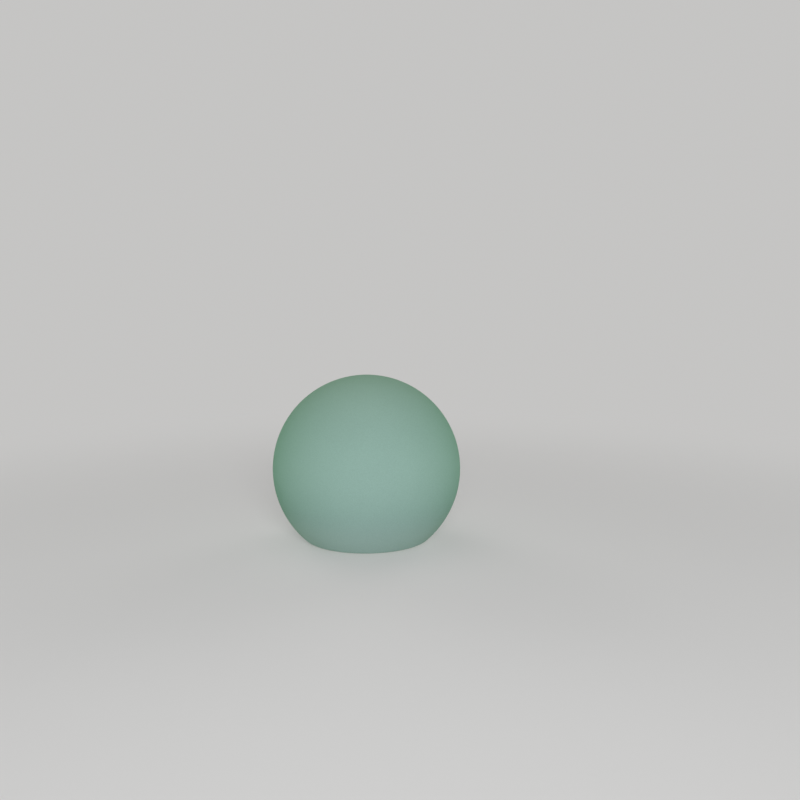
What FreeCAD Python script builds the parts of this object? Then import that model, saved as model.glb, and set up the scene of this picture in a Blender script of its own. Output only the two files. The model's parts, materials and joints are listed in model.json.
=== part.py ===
import FreeCAD, Part
from FreeCAD import Vector
import math
import os

# Garden globe light: a hollow frosted globe on a twist-off base that holds the LEDs and the battery.
# Millimetres. +Z is up, the origin is at the middle of the plane that the rubber feet stand on.

# Globe
globe_diameter = 200.0
globe_wall = 2.4
rim_width = 9.0
rim_edge_radius = 10.0
recess_edge_bevel = 0.8
seat_land = 4.9

# Battery pack, which sets the width of the base
cell_diameter = 18.4
cell_length = 65.0
cell_gap = 0.3
cell_edge_bevel = 0.7
tab_thickness = 0.3
tab_width = 6.0
pack_clearance = 1.8

# Base housing
housing_wall = 2.5
housing_draft = 1.0
deck_thickness = 2.5
deck_edge_bevel = 1.5
platform_height = 2.0
flange_thickness = 6.0
flange_rim_width = 6.0
flange_edge_bevel = 0.8
flange_gap = 1.0
rib_count = 24
rib_width = 1.6
rib_proud = 0.9

# Twist lock between the base and the globe's neck
lug_count = 3
lug_angle = 36.0
lug_depth = 2.9
lug_gap = 0.6
lug_thickness = 3.0
lug_play = 0.3
lug_rise = 5.0
lug_edge_radius = 0.6
twist_angle = 45.0
stop_angle = 2.2
stop_gap_angle = 0.8

# Neck ring, set in the globe's opening
neck_wall = 2.8
neck_fit = 0.3
neck_flange_thickness = 2.0
neck_flange_gap = 0.5
neck_lip = 3.0
neck_key_count = 3
neck_key_width = 4.0
neck_key_depth = 1.8
neck_key_gap = 0.2
hook_count = 6
hook_angle = 12.0
hook_proud = 1.5
hook_height = 3.0
hook_barb_height = 1.0
hook_gap = 0.2

# Seals
gasket_thickness = 1.5
gasket_inner_gap = 1.0
gasket_outer_gap = 0.8
cover_seal_thickness = 1.0
cover_seal_gap = 0.5
dome_seal_inset = 1.0
dome_seal_width = 1.6
dome_seal_depth = 1.0

# Bottom cover
cover_thickness = 2.5
cover_fit = 0.3
cover_edge_bevel = 0.5
finger_well_length = 20.0
finger_well_width = 9.0
finger_well_depth = 5.0
finger_well_wall = 1.5
finger_well_offset = 25.0

# Feet
foot_count = 4
foot_radius = 5.0
foot_proud = 1.5
foot_sink = 0.5
foot_inset = 1.7
foot_fit = 0.1
foot_edge_bevel = 0.5

# Cover screws and their bosses
cover_screw_count = 4
cover_screw_length = 10.0
cover_boss_inset = 3.5
cover_boss_radius = 4.0
cover_boss_height = 12.0

# Screws by size: shank radius, head radius, head height
small_screw = (1.0, 1.9, 1.3)
large_screw = (1.4, 2.6, 1.7)
screw_clearance = 0.25
head_clearance = 0.3
thread_bite = 0.1

# Control board
board_length = 58.0
board_shift = 1.0
board_width = 34.0
board_thickness = 1.6
board_corner_radius = 2.0
board_post_height = 8.0
board_post_radius = 2.6
board_post_inset = 4.0
board_screw_length = 6.0
component_room = 4.0
chip_length = 10.0
chip_width = 4.0
chip_height = 1.5
chip_standoff = 0.2
chip_leg_reach = 0.9
chip_leg_height = 0.4
chip_place = (-9.0, -6.0)
inductor_radius = 3.5
inductor_height = 3.0
inductor_base_height = 0.8
inductor_core_inset = 0.4
inductor_place = (4.0, -7.0)
connector_width = 7.0
connector_depth = 4.6
connector_height = 3.0
connector_inset = 2.6

# Power button, its membrane and its switch
button_radius = 7.0
button_gap = 0.3
button_recess = 0.3
button_flange_width = 1.4
button_flange_thickness = 1.0
button_flange_play = 0.2
button_post_radius = 3.0
button_post_height = 1.4
button_travel = 1.0
button_edge_bevel = 0.6
button_dish_radius = 4.5
button_dish_depth = 0.3
membrane_thickness = 0.8
membrane_crown_radius = 4.2
membrane_foot_inner = 9.4
membrane_foot_outer = 11.2
membrane_side_height = 1.6
membrane_shoulder_step = 0.64
membrane_crown_step = 0.16
clamp_thickness = 1.2
clamp_width = 1.2
clamp_ear_radius = 1.5
clamp_ear_count = 3
clamp_pin_radius = 0.6
clamp_pin_gap = 0.1
clamp_stake_radius = 1.1
clamp_stake_height = 0.5
switch_side = 6.2
switch_gap = 0.4
plunger_radius = 1.7
plunger_gap = 0.3
plunger_depth = 1.4

# Charging socket and its plug on a strap
socket_length = 8.94
socket_width = 3.26
socket_shell = 0.35
socket_depth = 6.0
socket_tongue_length = 6.6
socket_tongue_thickness = 0.7
socket_place_x = 23.5
socket_mouth_gap = 0.6
port_hinge_x = 17.0
port_hole_length = 10.8
port_hole_width = 5.3
plug_length = 14.0
plug_reach = 12.6
plug_thickness = 1.2
plug_gap = 0.3
plug_headroom = 0.1
plug_boss_length = 9.4
plug_boss_width = 3.2
plug_boss_height = 1.6
plug_corner_radius = 2.0
pull_tab_reach = 2.0
pull_tab_width = 6.0
pull_tab_room = 1.6
strap_width = 5.0
strap_length = 3.6
anchor_radius = 2.6
anchor_pin_radius = 1.5
anchor_pin_gap = 0.1
anchor_head_height = 1.2

# Charge light
pipe_radius = 1.5
pipe_flange_radius = 2.4
pipe_flange_thickness = 1.0
pipe_place_x = -20.0
pipe_fit = 0.1
indicator_side = 2.0
indicator_height = 0.8

# Battery cradle
cradle_floor = 2.4
cradle_rise = 3.8
cradle_length = 50.0
cradle_margin = 1.0
cradle_fit = 0.1
cradle_post_place = (16.0, 25.0)
cradle_post_radius = 3.4
cradle_ear_thickness = 3.0
cradle_screw_length = 8.0
foam_thickness = 2.6
foam_length = 56.0
foam_width = 32.0

# Light engine on the deck
led_board_radius = 30.0
led_board_thickness = 1.6
led_count = 9
led_ring_radius = 20.0
led_side = 5.0
led_height = 1.6
led_board_screw_count = 3
led_board_screw_inset = 3.5
led_board_screw_turn = 15.0
led_board_screw_length = 3.8
receiver_size = (6.0, 5.0, 7.0)
receiver_lens_radius = 2.0
receiver_lens_proud = 1.2
receiver_edge_radius = 0.6
receiver_leg = 0.6
receiver_leg_height = 1.5
receiver_leg_pitch = 2.0

# Diffuser dome
dome_wall = 1.6
dome_gap = 0.6
dome_flange_width = 5.0
dome_flange_thickness = 2.0
dome_draft = 1.0
dome_headroom = 3.3
dome_edge_radius = 8.0
dome_screw_count = 3
dome_screw_length = 6.0
dome_screw_inset = 2.6
dome_boss_radius = 2.6
dome_boss_height = 5.0

# Wires
ribbon_width = 5.1
ribbon_thickness = 1.0
ribbon_bend = 2.5
ribbon_line_y = 26.6
ribbon_face_inset = 1.0
grommet_wall = 1.0
grommet_lip = 0.8
wire_width = 1.4
wire_bend = 2.4
wire_pitch = 4.0
wire_line_gap = 3.4

# How near two lengths have to be to count as the same
tolerance = 0.001

# Heights and radii worked out from the sizes above
pack_half_length = cell_length / 2 + tab_thickness
pack_half_width = cell_diameter + cell_gap / 2
bore_radius = math.hypot(pack_half_length, pack_half_width) + pack_clearance
collar_radius = bore_radius + housing_wall
base_lug_radius = collar_radius + lug_depth
neck_bore = base_lug_radius + lug_gap
neck_lug_radius = collar_radius + lug_gap
neck_outer = neck_bore + neck_wall
globe_hole_radius = neck_outer + neck_fit
recess_radius = globe_hole_radius + seat_land
flange_radius = recess_radius - flange_gap
cover_recess_radius = flange_radius - flange_rim_width
cover_radius = cover_recess_radius - cover_fit
cover_screw_offset = bore_radius - cover_boss_inset
foot_offset = cover_radius - foot_inset - foot_radius
flat_radius = recess_radius + globe_wall + rim_width

underside_z = foot_proud
flange_top_z = underside_z + flange_thickness
gasket_top_z = flange_top_z + gasket_thickness
seat_z = gasket_top_z + neck_flange_thickness
neck_lug_z = gasket_top_z + lug_rise
base_lug_z = neck_lug_z + lug_thickness + lug_play
base_lug_top_z = base_lug_z + lug_thickness
neck_top_z = base_lug_top_z + neck_lip
globe_radius = globe_diameter / 2
globe_centre_z = underside_z + math.sqrt(globe_radius**2 - flat_radius**2)

cover_top_z = underside_z + cover_thickness
ledge_z = cover_top_z + cover_seal_thickness
board_z = cover_top_z + board_post_height
board_top_z = board_z + board_thickness
cradle_z = board_top_z + component_room
cell_z = cradle_z + cradle_floor
cell_axis_z = cell_z + cell_diameter / 2
cell_top_z = cell_z + cell_diameter
deck_underside_z = cell_top_z + foam_thickness
deck_z = deck_underside_z + deck_thickness
platform_z = deck_z + platform_height
led_board_top_z = platform_z + led_board_thickness
board_post_x = (
    board_shift - board_length / 2 + board_post_inset,
    board_shift + board_length / 2 - board_post_inset,
)
board_post_y = board_width / 2 - board_post_inset
led_board_screw_offset = led_board_radius - led_board_screw_inset

dome_bore = led_board_radius + 2 * dome_gap + dome_wall
dome_outer = dome_bore + dome_wall
dome_flange_radius = dome_outer + dome_flange_width
platform_radius = dome_bore - dome_gap
dome_screw_offset = dome_flange_radius - dome_screw_inset
deck_top_radius = collar_radius - housing_draft
dome_top_z = led_board_top_z + receiver_leg_height + receiver_size[2] + dome_headroom + dome_wall
connector_mid_z = board_top_z + connector_height / 2
wire_line_x = pack_half_length + wire_line_gap
led_connector_y = ribbon_line_y - 2 * ribbon_bend


# Shapes that every piece is built from

def at_angle(radius, degrees, z=0.0):
    """A point at that radius and angle about Z."""
    a = math.radians(degrees)
    return Vector(radius * math.cos(a), radius * math.sin(a), z)


def around(count, start=0.0):
    """Evenly spaced angles about Z, in degrees."""
    return [start + 360.0 * k / count for k in range(count)]


def rod(radius, low, high, place=Vector(0, 0, 0)):
    return Part.makeCylinder(radius, high - low, Vector(place.x, place.y, low))


def tube(inner, outer, low, high):
    return rod(outer, low, high).cut(rod(inner, low, high))


def block(x_low, x_high, y_low, y_high, low, high):
    return Part.makeBox(x_high - x_low, y_high - y_low, high - low, Vector(x_low, y_low, low))


def block_at(x, y, length, width, low, high):
    return block(x - length / 2, x + length / 2, y - width / 2, y + width / 2, low, high)


def spun(points, degrees=360.0, start=0.0):
    """A closed outline of (radius, z) points turned about Z."""
    outline = Part.makePolygon([Vector(r, 0, z) for r, z in points + points[:1]])
    solid = Part.Face(outline).revolve(Vector(0, 0, 0), Vector(0, 0, 1), degrees)
    return turned(solid, start)


def turned(shape, degrees):
    """A copy turned about Z."""
    copy = shape.copy()
    copy.rotate(Vector(0, 0, 0), Vector(0, 0, 1), degrees)
    return copy


def sector(inner, outer, low, high, middle, width):
    """A piece of a ring that is centred on an angle."""
    corners = [(inner, low), (outer, low), (outer, high), (inner, high)]
    return spun(corners, width, middle - width / 2)


def slot(x, y, length, width, low, high):
    """An upright slot with round ends, its length along Y."""
    r = width / 2
    half = length / 2 - r
    corners = [Vector(x + sx * r, y + sy * half, low) for sx, sy in ((-1, -1), (-1, 1), (1, 1), (1, -1))]
    left = Part.makeLine(corners[0], corners[1])
    right = Part.makeLine(corners[2], corners[3])
    top = Part.Arc(corners[1], Vector(x, y + half + r, low), corners[2]).toShape()
    bottom = Part.Arc(corners[3], Vector(x, y - half - r, low), corners[0]).toShape()
    return Part.Face(Part.Wire([left, top, right, bottom])).extrude(Vector(0, 0, high - low))


def round_edges(solid, radius, chosen):
    """Fillets the edges that the test chooses."""
    return solid.makeFillet(radius, [e for e in solid.Edges if chosen(e)])


def bevel_edges(solid, size, chosen):
    """Bevels the edges that the test chooses."""
    return solid.makeChamfer(size, [e for e in solid.Edges if chosen(e)])


def is_circle_at(edge, radius, z):
    """True for an edge that is a circle about Z with that radius and height."""
    if edge.Degenerated or not isinstance(edge.Curve, Part.Circle):
        return False
    centre = edge.Curve.Center
    on_axis = math.hypot(centre.x, centre.y) < tolerance
    return on_axis and abs(edge.Curve.Radius - radius) < tolerance and abs(centre.z - z) < tolerance


def is_upright(edge):
    """True for an edge that is a straight line along Z."""
    if edge.Degenerated:
        return False
    step = edge.Vertexes[-1].Point - edge.Vertexes[0].Point
    return math.hypot(step.x, step.y) < tolerance < abs(step.z)


def screw(size, place, seat, length, up):
    """A pan-head screw whose head rests on the height seat; up is 1 for upwards and -1 for down."""
    shank, head, head_height = size
    shank_low, shank_high = sorted((seat, seat + up * length))
    head_low, head_high = sorted((seat, seat - up * head_height))
    return rod(shank, shank_low, shank_high, place).fuse(rod(head, head_low, head_high, place))


def pilot(size, place, low, high):
    """The hole that a screw cuts its thread in."""
    return rod(size[0] + thread_bite, low, high, place)


def run_edges(points, bend, offset=0.0):
    """Straight runs joined by arcs, in the plane of (u, v) points, moved sideways by offset."""
    steps = []
    for (u0, v0), (u1, v1) in zip(points, points[1:]):
        length = math.hypot(u1 - u0, v1 - v0)
        steps.append(((u1 - u0) / length, (v1 - v0) / length))
    side = [(-dv, du) for du, dv in steps]
    moved = lambda p, k: (p[0] + side[k][0] * offset, p[1] + side[k][1] * offset)
    here = moved(points[0], 0)
    pieces = []
    for k in range(1, len(steps)):
        cross = steps[k - 1][0] * steps[k][1] - steps[k - 1][1] * steps[k][0]
        dot = steps[k - 1][0] * steps[k][0] + steps[k - 1][1] * steps[k][1]
        way = 1 if cross > 0 else -1
        back = bend * math.tan(abs(math.atan2(cross, dot)) / 2)
        start = (points[k][0] - steps[k - 1][0] * back, points[k][1] - steps[k - 1][1] * back)
        end = (points[k][0] + steps[k][0] * back, points[k][1] + steps[k][1] * back)
        centre = (start[0] + side[k - 1][0] * way * bend, start[1] + side[k - 1][1] * way * bend)
        middle = (side[k - 1][0] + side[k][0], side[k - 1][1] + side[k][1])
        size = math.hypot(*middle)
        reach = (offset - way * bend) / size
        top = (centre[0] + middle[0] * reach, centre[1] + middle[1] * reach)
        pieces.append(("line", here, moved(start, k - 1)))
        pieces.append(("arc", moved(start, k - 1), top, moved(end, k)))
        here = moved(end, k)
    pieces.append(("line", here, moved(points[-1], len(steps) - 1)))
    return pieces


def laid(pieces, place, backwards=False):
    """Edges in space for such pieces; place turns (u, v) into a point."""
    edges = []
    for kind, *points in pieces:
        points = [place(p) for p in (reversed(points) if backwards else points)]
        edges.append(Part.makeLine(*points) if kind == "line" else Part.Arc(*points).toShape())
    return list(reversed(edges)) if backwards else edges


def strip(points, bend, thickness, place, across):
    """A flat cable along (u, v) points, extruded by the vector across."""
    left = run_edges(points, bend, thickness / 2)
    right = run_edges(points, bend, -thickness / 2)
    end = Part.makeLine(place(left[-1][-1]), place(right[-1][-1]))
    begin = Part.makeLine(place(right[0][1]), place(left[0][1]))
    outline = laid(left, place) + [end] + laid(right, place, backwards=True) + [begin]
    return Part.Face(Part.Wire(outline)).extrude(across)


# Globe and neck

def globe_shell():
    """Hollow globe with a flat rim and a recess that takes the base."""
    outer = globe_body(globe_radius, underside_z)
    outer = round_edges(outer, rim_edge_radius, lambda e: is_circle_at(e, flat_radius, underside_z))
    inner_floor_z = underside_z + globe_wall
    inner_radius = globe_radius - globe_wall
    inner_flat = math.sqrt(inner_radius**2 - (globe_centre_z - inner_floor_z) ** 2)
    inner = globe_body(inner_radius, inner_floor_z)
    inner_edge = rim_edge_radius - globe_wall
    inner = round_edges(inner, inner_edge, lambda e: is_circle_at(e, inner_flat, inner_floor_z))
    pocket_wall = rod(recess_radius + globe_wall, underside_z, seat_z + globe_wall)
    shell = outer.cut(inner.cut(pocket_wall))
    shell = shell.cut(rod(recess_radius, underside_z, seat_z))
    shell = shell.cut(rod(globe_hole_radius, seat_z, seat_z + globe_wall))
    for angle in around(neck_key_count, 180.0 / neck_key_count):
        shell = shell.cut(neck_key(angle, neck_key_gap, seat_z, seat_z + globe_wall))
    return bevel_edges(shell, recess_edge_bevel, lambda e: is_circle_at(e, recess_radius, underside_z))


def globe_body(radius, floor_z):
    """A ball about the globe's centre, cut flat at the height floor_z."""
    drop = globe_centre_z - floor_z
    flat = math.sqrt(radius**2 - drop**2)
    low = -math.asin(drop / radius)
    middle = (low + math.pi / 2) / 2
    rim = Vector(flat, 0, floor_z)
    side = Vector(radius * math.cos(middle), 0, globe_centre_z + radius * math.sin(middle))
    top = Vector(0, 0, globe_centre_z + radius)
    foot = Vector(0, 0, floor_z)
    edges = [Part.Arc(rim, side, top).toShape(), Part.makeLine(top, foot), Part.makeLine(foot, rim)]
    return Part.Face(Part.Wire(edges)).revolve(Vector(0, 0, 0), Vector(0, 0, 1), 360)


def neck_key(angle, gap, low, high):
    """A key on the neck ring, or with a gap, its notch in the globe."""
    reach = neck_outer + neck_key_depth + gap
    half = neck_key_width / 2 + gap
    return turned(block(neck_outer - neck_wall / 2, reach, -half, half, low, high), angle)


def neck_ring():
    """Moulded ring in the globe's opening, with the inward lugs of the twist lock."""
    flange = rod(recess_radius - neck_flange_gap, gasket_top_z, seat_z)
    ring = flange.fuse(rod(neck_outer, gasket_top_z, neck_top_z))
    for angle in around(neck_key_count, 180.0 / neck_key_count):
        ring = ring.fuse(neck_key(angle, 0.0, seat_z, seat_z + globe_wall))
    for angle in around(hook_count):
        ring = ring.fuse(snap_hook(angle))
    ring = ring.cut(rod(neck_bore, gasket_top_z, neck_top_z))
    root = neck_outer - neck_wall / 2
    for angle in around(lug_count):
        lug = sector(neck_lug_radius, root, neck_lug_z, neck_lug_z + lug_thickness, angle, lug_angle)
        inner = lambda e: is_upright(e) and math.hypot(e.CenterOfMass.x, e.CenterOfMass.y) < neck_bore
        ring = ring.fuse(round_edges(lug, lug_edge_radius, inner))
    return ring.removeSplitter()


def snap_hook(angle):
    """A hook that holds the ring behind the globe's seat, with a slope to slide in on."""
    low = seat_z + globe_wall + hook_gap
    root = neck_outer - neck_wall / 2
    profile = [
        (root, low),
        (neck_outer + hook_proud, low),
        (neck_outer + hook_proud, low + hook_barb_height),
        (neck_outer, low + hook_height),
        (root, low + hook_height),
    ]
    return spun(profile, hook_angle, angle - hook_angle / 2)


def globe_gasket():
    """Silicone ring between the base's flange and the neck ring."""
    inner = neck_lug_radius + gasket_inner_gap
    return tube(inner, flange_radius - gasket_outer_gap, flange_top_z, gasket_top_z)


# Base housing

def base_housing():
    """Flanged tub, open below and closed by the deck above."""
    outline = [
        (bore_radius, ledge_z),
        (cover_recess_radius, ledge_z),
        (cover_recess_radius, underside_z),
        (flange_radius, underside_z),
        (flange_radius, flange_top_z),
        (collar_radius, flange_top_z),
        (collar_radius, neck_top_z),
        (deck_top_radius, deck_z),
        (0, deck_z),
        (0, deck_underside_z),
        (deck_top_radius - housing_wall, deck_underside_z),
        (bore_radius, neck_top_z),
    ]
    tub = spun(outline)
    tub = bevel_edges(
        tub,
        flange_edge_bevel,
        lambda e: is_circle_at(e, flange_radius, underside_z) or is_circle_at(e, flange_radius, flange_top_z),
    )
    tub = bevel_edges(tub, deck_edge_bevel, lambda e: is_circle_at(e, deck_top_radius, deck_z))
    tub = tub.fuse(rod(platform_radius, deck_z, platform_z))
    for angle in around(lug_count):
        tub = tub.fuse(base_lug(angle))
    for angle in around(rib_count, 180.0 / rib_count):
        tub = tub.fuse(side_rib(angle))
    for place in cover_screw_places():
        boss = rod(cover_boss_radius, cover_top_z, cover_top_z + cover_boss_height, place)
        hole = pilot(large_screw, place, cover_top_z, cover_top_z + cover_screw_length)
        tub = tub.fuse(boss.common(rod(bore_radius + housing_wall / 2, cover_top_z, deck_z))).cut(hole)
    for place in cradle_post_places():
        low = cradle_ear_top_z()
        post = rod(cradle_post_radius, low, deck_underside_z, place)
        tub = tub.fuse(post).cut(pilot(large_screw, place, low, low + cradle_screw_length))
    for place in dome_screw_places():
        boss = rod(dome_boss_radius, deck_underside_z - dome_boss_height, deck_underside_z, place)
        hole = pilot(small_screw, place, deck_z - dome_screw_length, deck_z)
        tub = tub.fuse(boss.common(rod(deck_top_radius - housing_wall / 2, ledge_z, deck_z))).cut(hole)
    for place in led_board_screw_places():
        tub = tub.cut(pilot(small_screw, place, platform_z - led_board_screw_length, platform_z))
    tub = tub.cut(dome_seal())
    tub = tub.cut(ribbon_slot(grommet_wall, deck_underside_z, platform_z))
    return tub.removeSplitter()


def base_lug(angle):
    """Outward lug with a stop at its locked end and another at the end of the free turn."""
    locked_stop = angle - lug_angle / 2 - stop_gap_angle - stop_angle / 2
    free_stop = angle + twist_angle + lug_angle / 2 + stop_gap_angle + stop_angle / 2
    root = collar_radius - housing_wall / 2
    first = locked_stop - stop_angle / 2
    last = angle + lug_angle / 2
    lug = sector(root, base_lug_radius, base_lug_z, base_lug_top_z, (first + last) / 2, last - first)
    outer = lambda e: is_upright(e) and math.hypot(e.CenterOfMass.x, e.CenterOfMass.y) > collar_radius
    lug = round_edges(lug, lug_edge_radius, outer)
    stop_radius = base_lug_radius - lug_edge_radius
    middle_z = base_lug_z + lug_thickness / 2
    lug = lug.fuse(sector(root, stop_radius, neck_lug_z, middle_z, locked_stop, stop_angle))
    return lug.fuse(sector(root, stop_radius, neck_lug_z, base_lug_top_z, free_stop, stop_angle))


def side_rib(angle):
    """Upright rib that fades out towards the neck."""
    low, high = neck_top_z + housing_draft, deck_z - deck_edge_bevel
    root = deck_top_radius - housing_wall / 2
    half = rib_width / 2
    outline = [
        Vector(root, -half, low),
        Vector(collar_radius, -half, low),
        Vector(deck_top_radius + rib_proud, -half, high - rib_proud),
        Vector(deck_top_radius, -half, high),
        Vector(root, -half, high),
    ]
    face = Part.Face(Part.makePolygon(outline + outline[:1]))
    return turned(face.extrude(Vector(0, rib_width, 0)), angle)


def cover_screw_places():
    return [at_angle(cover_screw_offset, a) for a in around(cover_screw_count, 180.0 / cover_screw_count)]


def cradle_post_places():
    x, y = cradle_post_place
    return [Vector(x, y, 0), Vector(-x, -y, 0)]


def cradle_ear_top_z():
    return cell_z + cradle_ear_thickness


def dome_screw_places():
    return [at_angle(dome_screw_offset, a) for a in around(dome_screw_count, 180.0 / dome_screw_count)]


def led_board_screw_places():
    return [at_angle(led_board_screw_offset, a) for a in around(led_board_screw_count, led_board_screw_turn)]


def dome_seal_inner():
    return dome_bore + dome_seal_inset


def ribbon_slot(extra, low, high):
    """The opening for the ribbon, wider by extra on every side."""
    length = ribbon_width + 2 * extra + screw_clearance
    width = ribbon_thickness + 2 * extra + screw_clearance
    return block_at(0, ribbon_line_y, length, width, low, high)


# Bottom cover and what it carries

def bottom_cover():
    """Round cover with the button hole, the charging port, finger wells, foot sinks and board posts."""
    cover = rod(cover_radius, underside_z, cover_top_z)
    cover = bevel_edges(cover, cover_edge_bevel, lambda e: is_circle_at(e, cover_radius, underside_z))
    for side in (-1, 1):
        well_top = underside_z + finger_well_depth
        wall = finger_well_wall
        cup = finger_well(side, wall, cover_top_z - cover_thickness / 2, well_top + wall)
        cover = cover.fuse(cup).cut(finger_well(side, 0.0, underside_z, well_top))
    for x in board_post_x:
        for y in (-board_post_y, board_post_y):
            place = Vector(x, y, 0)
            post = rod(board_post_radius, cover_top_z, board_z, place)
            hole = pilot(small_screw, place, board_top_z - board_screw_length, board_z)
            cover = cover.fuse(post).cut(hole)
    for place in clamp_pin_places():
        clamp_top = membrane_foot_top_z() + clamp_thickness
        stake = rod(clamp_stake_radius, clamp_top, clamp_top + clamp_stake_height, place)
        cover = cover.fuse([rod(clamp_pin_radius, cover_top_z, clamp_top, place), stake])
    for angle in around(foot_count):
        place = at_angle(foot_offset, angle)
        cover = cover.cut(rod(foot_radius, underside_z, underside_z + foot_sink, place))
    for place in cover_screw_places():
        cover = cover.cut(rod(large_screw[0] + screw_clearance, underside_z, cover_top_z, place))
        cover = cover.cut(rod(large_screw[1] + head_clearance, underside_z, cover_screw_seat_z(), place))
    cover = cover.cut(rod(button_radius + button_gap, underside_z, cover_top_z))
    cover = cover.cut(port_pocket())
    cover = cover.cut(slot(socket_place_x, 0, port_hole_length, port_hole_width, underside_z, cover_top_z))
    cover = cover.cut(rod(anchor_pin_radius + anchor_pin_gap, underside_z, cover_top_z, anchor_place()))
    cover = cover.cut(rod(pipe_radius + pipe_fit, underside_z, cover_top_z, Vector(pipe_place_x, 0, 0)))
    return cover.removeSplitter()


def finger_well(side, extra, low, high):
    """A well for a fingertip, beside the middle; with extra it is the outside of the well's cup."""
    well = slot(0, 0, finger_well_length + 2 * extra, finger_well_width + 2 * extra, low, high)
    well = turned(well, 90)
    well.translate(Vector(0, side * finger_well_offset, 0))
    return well


def cover_screw_seat_z():
    return underside_z + large_screw[2]


def port_pocket():
    """Shallow pocket that the plug, its strap and its pull tab lie in."""
    top = underside_z + plug_thickness + plug_headroom
    gap = plug_gap
    reach = port_hinge_x + plug_reach
    body = block(port_hinge_x, reach + gap, -plug_length / 2 - gap, plug_length / 2 + gap, underside_z, top)
    corners = lambda e: is_upright(e) and e.CenterOfMass.x > port_hinge_x + gap
    body = round_edges(body, plug_corner_radius, corners)
    tab_end = reach + pull_tab_reach + pull_tab_room
    half = pull_tab_width / 2 + pull_tab_room
    tab = block(port_hinge_x + gap, tab_end, -half, half, underside_z, top)
    tab = round_edges(tab, plug_corner_radius, corners)
    neck_half = strap_width / 2 + gap
    neck = block(anchor_place().x, port_hinge_x + gap, -neck_half, neck_half, underside_z, top)
    end = rod(anchor_radius + gap, underside_z, top, anchor_place())
    return body.fuse([tab, neck, end]).removeSplitter()


def anchor_place():
    return Vector(port_hinge_x - strap_length, 0, 0)


def cover_seal():
    inner = bore_radius + cover_seal_gap + screw_clearance
    return tube(inner, cover_recess_radius - cover_seal_gap, cover_top_z, ledge_z)


def rubber_feet():
    feet = []
    tread_edge = lambda e: e.Closed and abs(e.CenterOfMass.z) < tolerance
    for angle in around(foot_count):
        foot = rod(foot_radius - foot_fit, 0, underside_z + foot_sink, at_angle(foot_offset, angle))
        feet.append(bevel_edges(foot, foot_edge_bevel, tread_edge))
    return feet


def cover_screws():
    return [screw(large_screw, p, cover_screw_seat_z(), cover_screw_length, 1) for p in cover_screw_places()]


# Power button

def membrane_foot_top_z():
    return cover_top_z + membrane_thickness


def button_flange_z():
    return cover_top_z + button_flange_play


def button_post_top_z():
    return button_flange_z() + button_flange_thickness + button_post_height


def power_button():
    """Round push button, kept in by the flange behind the cover."""
    face_z = underside_z + button_recess
    flange_z = button_flange_z()
    cap = rod(button_radius, face_z, flange_z + button_flange_thickness)
    cap = bevel_edges(cap, button_edge_bevel, lambda e: is_circle_at(e, button_radius, face_z))
    cap = cap.fuse(rod(button_radius + button_flange_width, flange_z, flange_z + button_flange_thickness))
    post_top = button_post_top_z()
    cap = cap.fuse(rod(button_post_radius, flange_z + button_flange_thickness, post_top))
    dish = Part.makeCone(button_dish_radius, button_dish_radius - 2 * button_dish_depth, button_dish_depth)
    dish.translate(Vector(0, 0, face_z))
    return cap.cut(dish).removeSplitter()


def button_membrane():
    """Silicone dome that seals the button and pushes it back."""
    foot_z, crown_z = cover_top_z, button_post_top_z()
    t = membrane_thickness
    shoulder = membrane_foot_inner - t / 2
    return spun([
        (0, crown_z),
        (membrane_crown_radius, crown_z),
        (shoulder, foot_z + membrane_side_height),
        (membrane_foot_inner, foot_z),
        (membrane_foot_outer, foot_z),
        (membrane_foot_outer, foot_z + t),
        (shoulder + t, foot_z + t),
        (shoulder + membrane_shoulder_step, foot_z + membrane_side_height + membrane_shoulder_step),
        (membrane_crown_radius + membrane_crown_step, crown_z + t),
        (0, crown_z + t),
    ])


def clamp_pin_places():
    return [at_angle(membrane_foot_outer + clamp_ear_radius / 2, a) for a in around(clamp_ear_count, 90.0)]


def membrane_clamp():
    """Ring with three staked ears that holds the membrane's edge down on the cover."""
    low = membrane_foot_top_z()
    high = low + clamp_thickness
    ring = rod(membrane_foot_outer, low, high)
    for place in clamp_pin_places():
        ring = ring.fuse(rod(clamp_ear_radius, low, high, place))
    ring = ring.cut(rod(membrane_foot_outer - clamp_width, low, high))
    for place in clamp_pin_places():
        ring = ring.cut(rod(clamp_pin_radius + clamp_pin_gap, low, high, place))
    return ring.removeSplitter()


def switch_body_z():
    return button_post_top_z() + membrane_thickness + button_travel + switch_gap


def switch_body():
    low = switch_body_z()
    body = block_at(0, 0, switch_side, switch_side, low, board_z)
    return body.cut(rod(plunger_radius + plunger_gap, low, low + plunger_depth + button_travel + plunger_gap))


def switch_plunger():
    return rod(plunger_radius, button_post_top_z() + membrane_thickness, switch_body_z() + plunger_depth)


# Charging port

def charge_socket():
    """Upright charging socket with its tongue, soldered under the control board."""
    mouth = socket_mouth_z()
    body = slot(socket_place_x, 0, socket_length, socket_width, mouth, board_z)
    floor = mouth + socket_depth
    wall = 2 * socket_shell
    hollow = slot(socket_place_x, 0, socket_length - wall, socket_width - wall, mouth, floor)
    low = mouth + socket_mouth_gap
    tongue = block_at(socket_place_x, 0, socket_tongue_thickness, socket_tongue_length, low, floor)
    return body.cut(hollow).fuse(tongue).removeSplitter()


def socket_mouth_z():
    return cover_top_z + socket_mouth_gap


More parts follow.
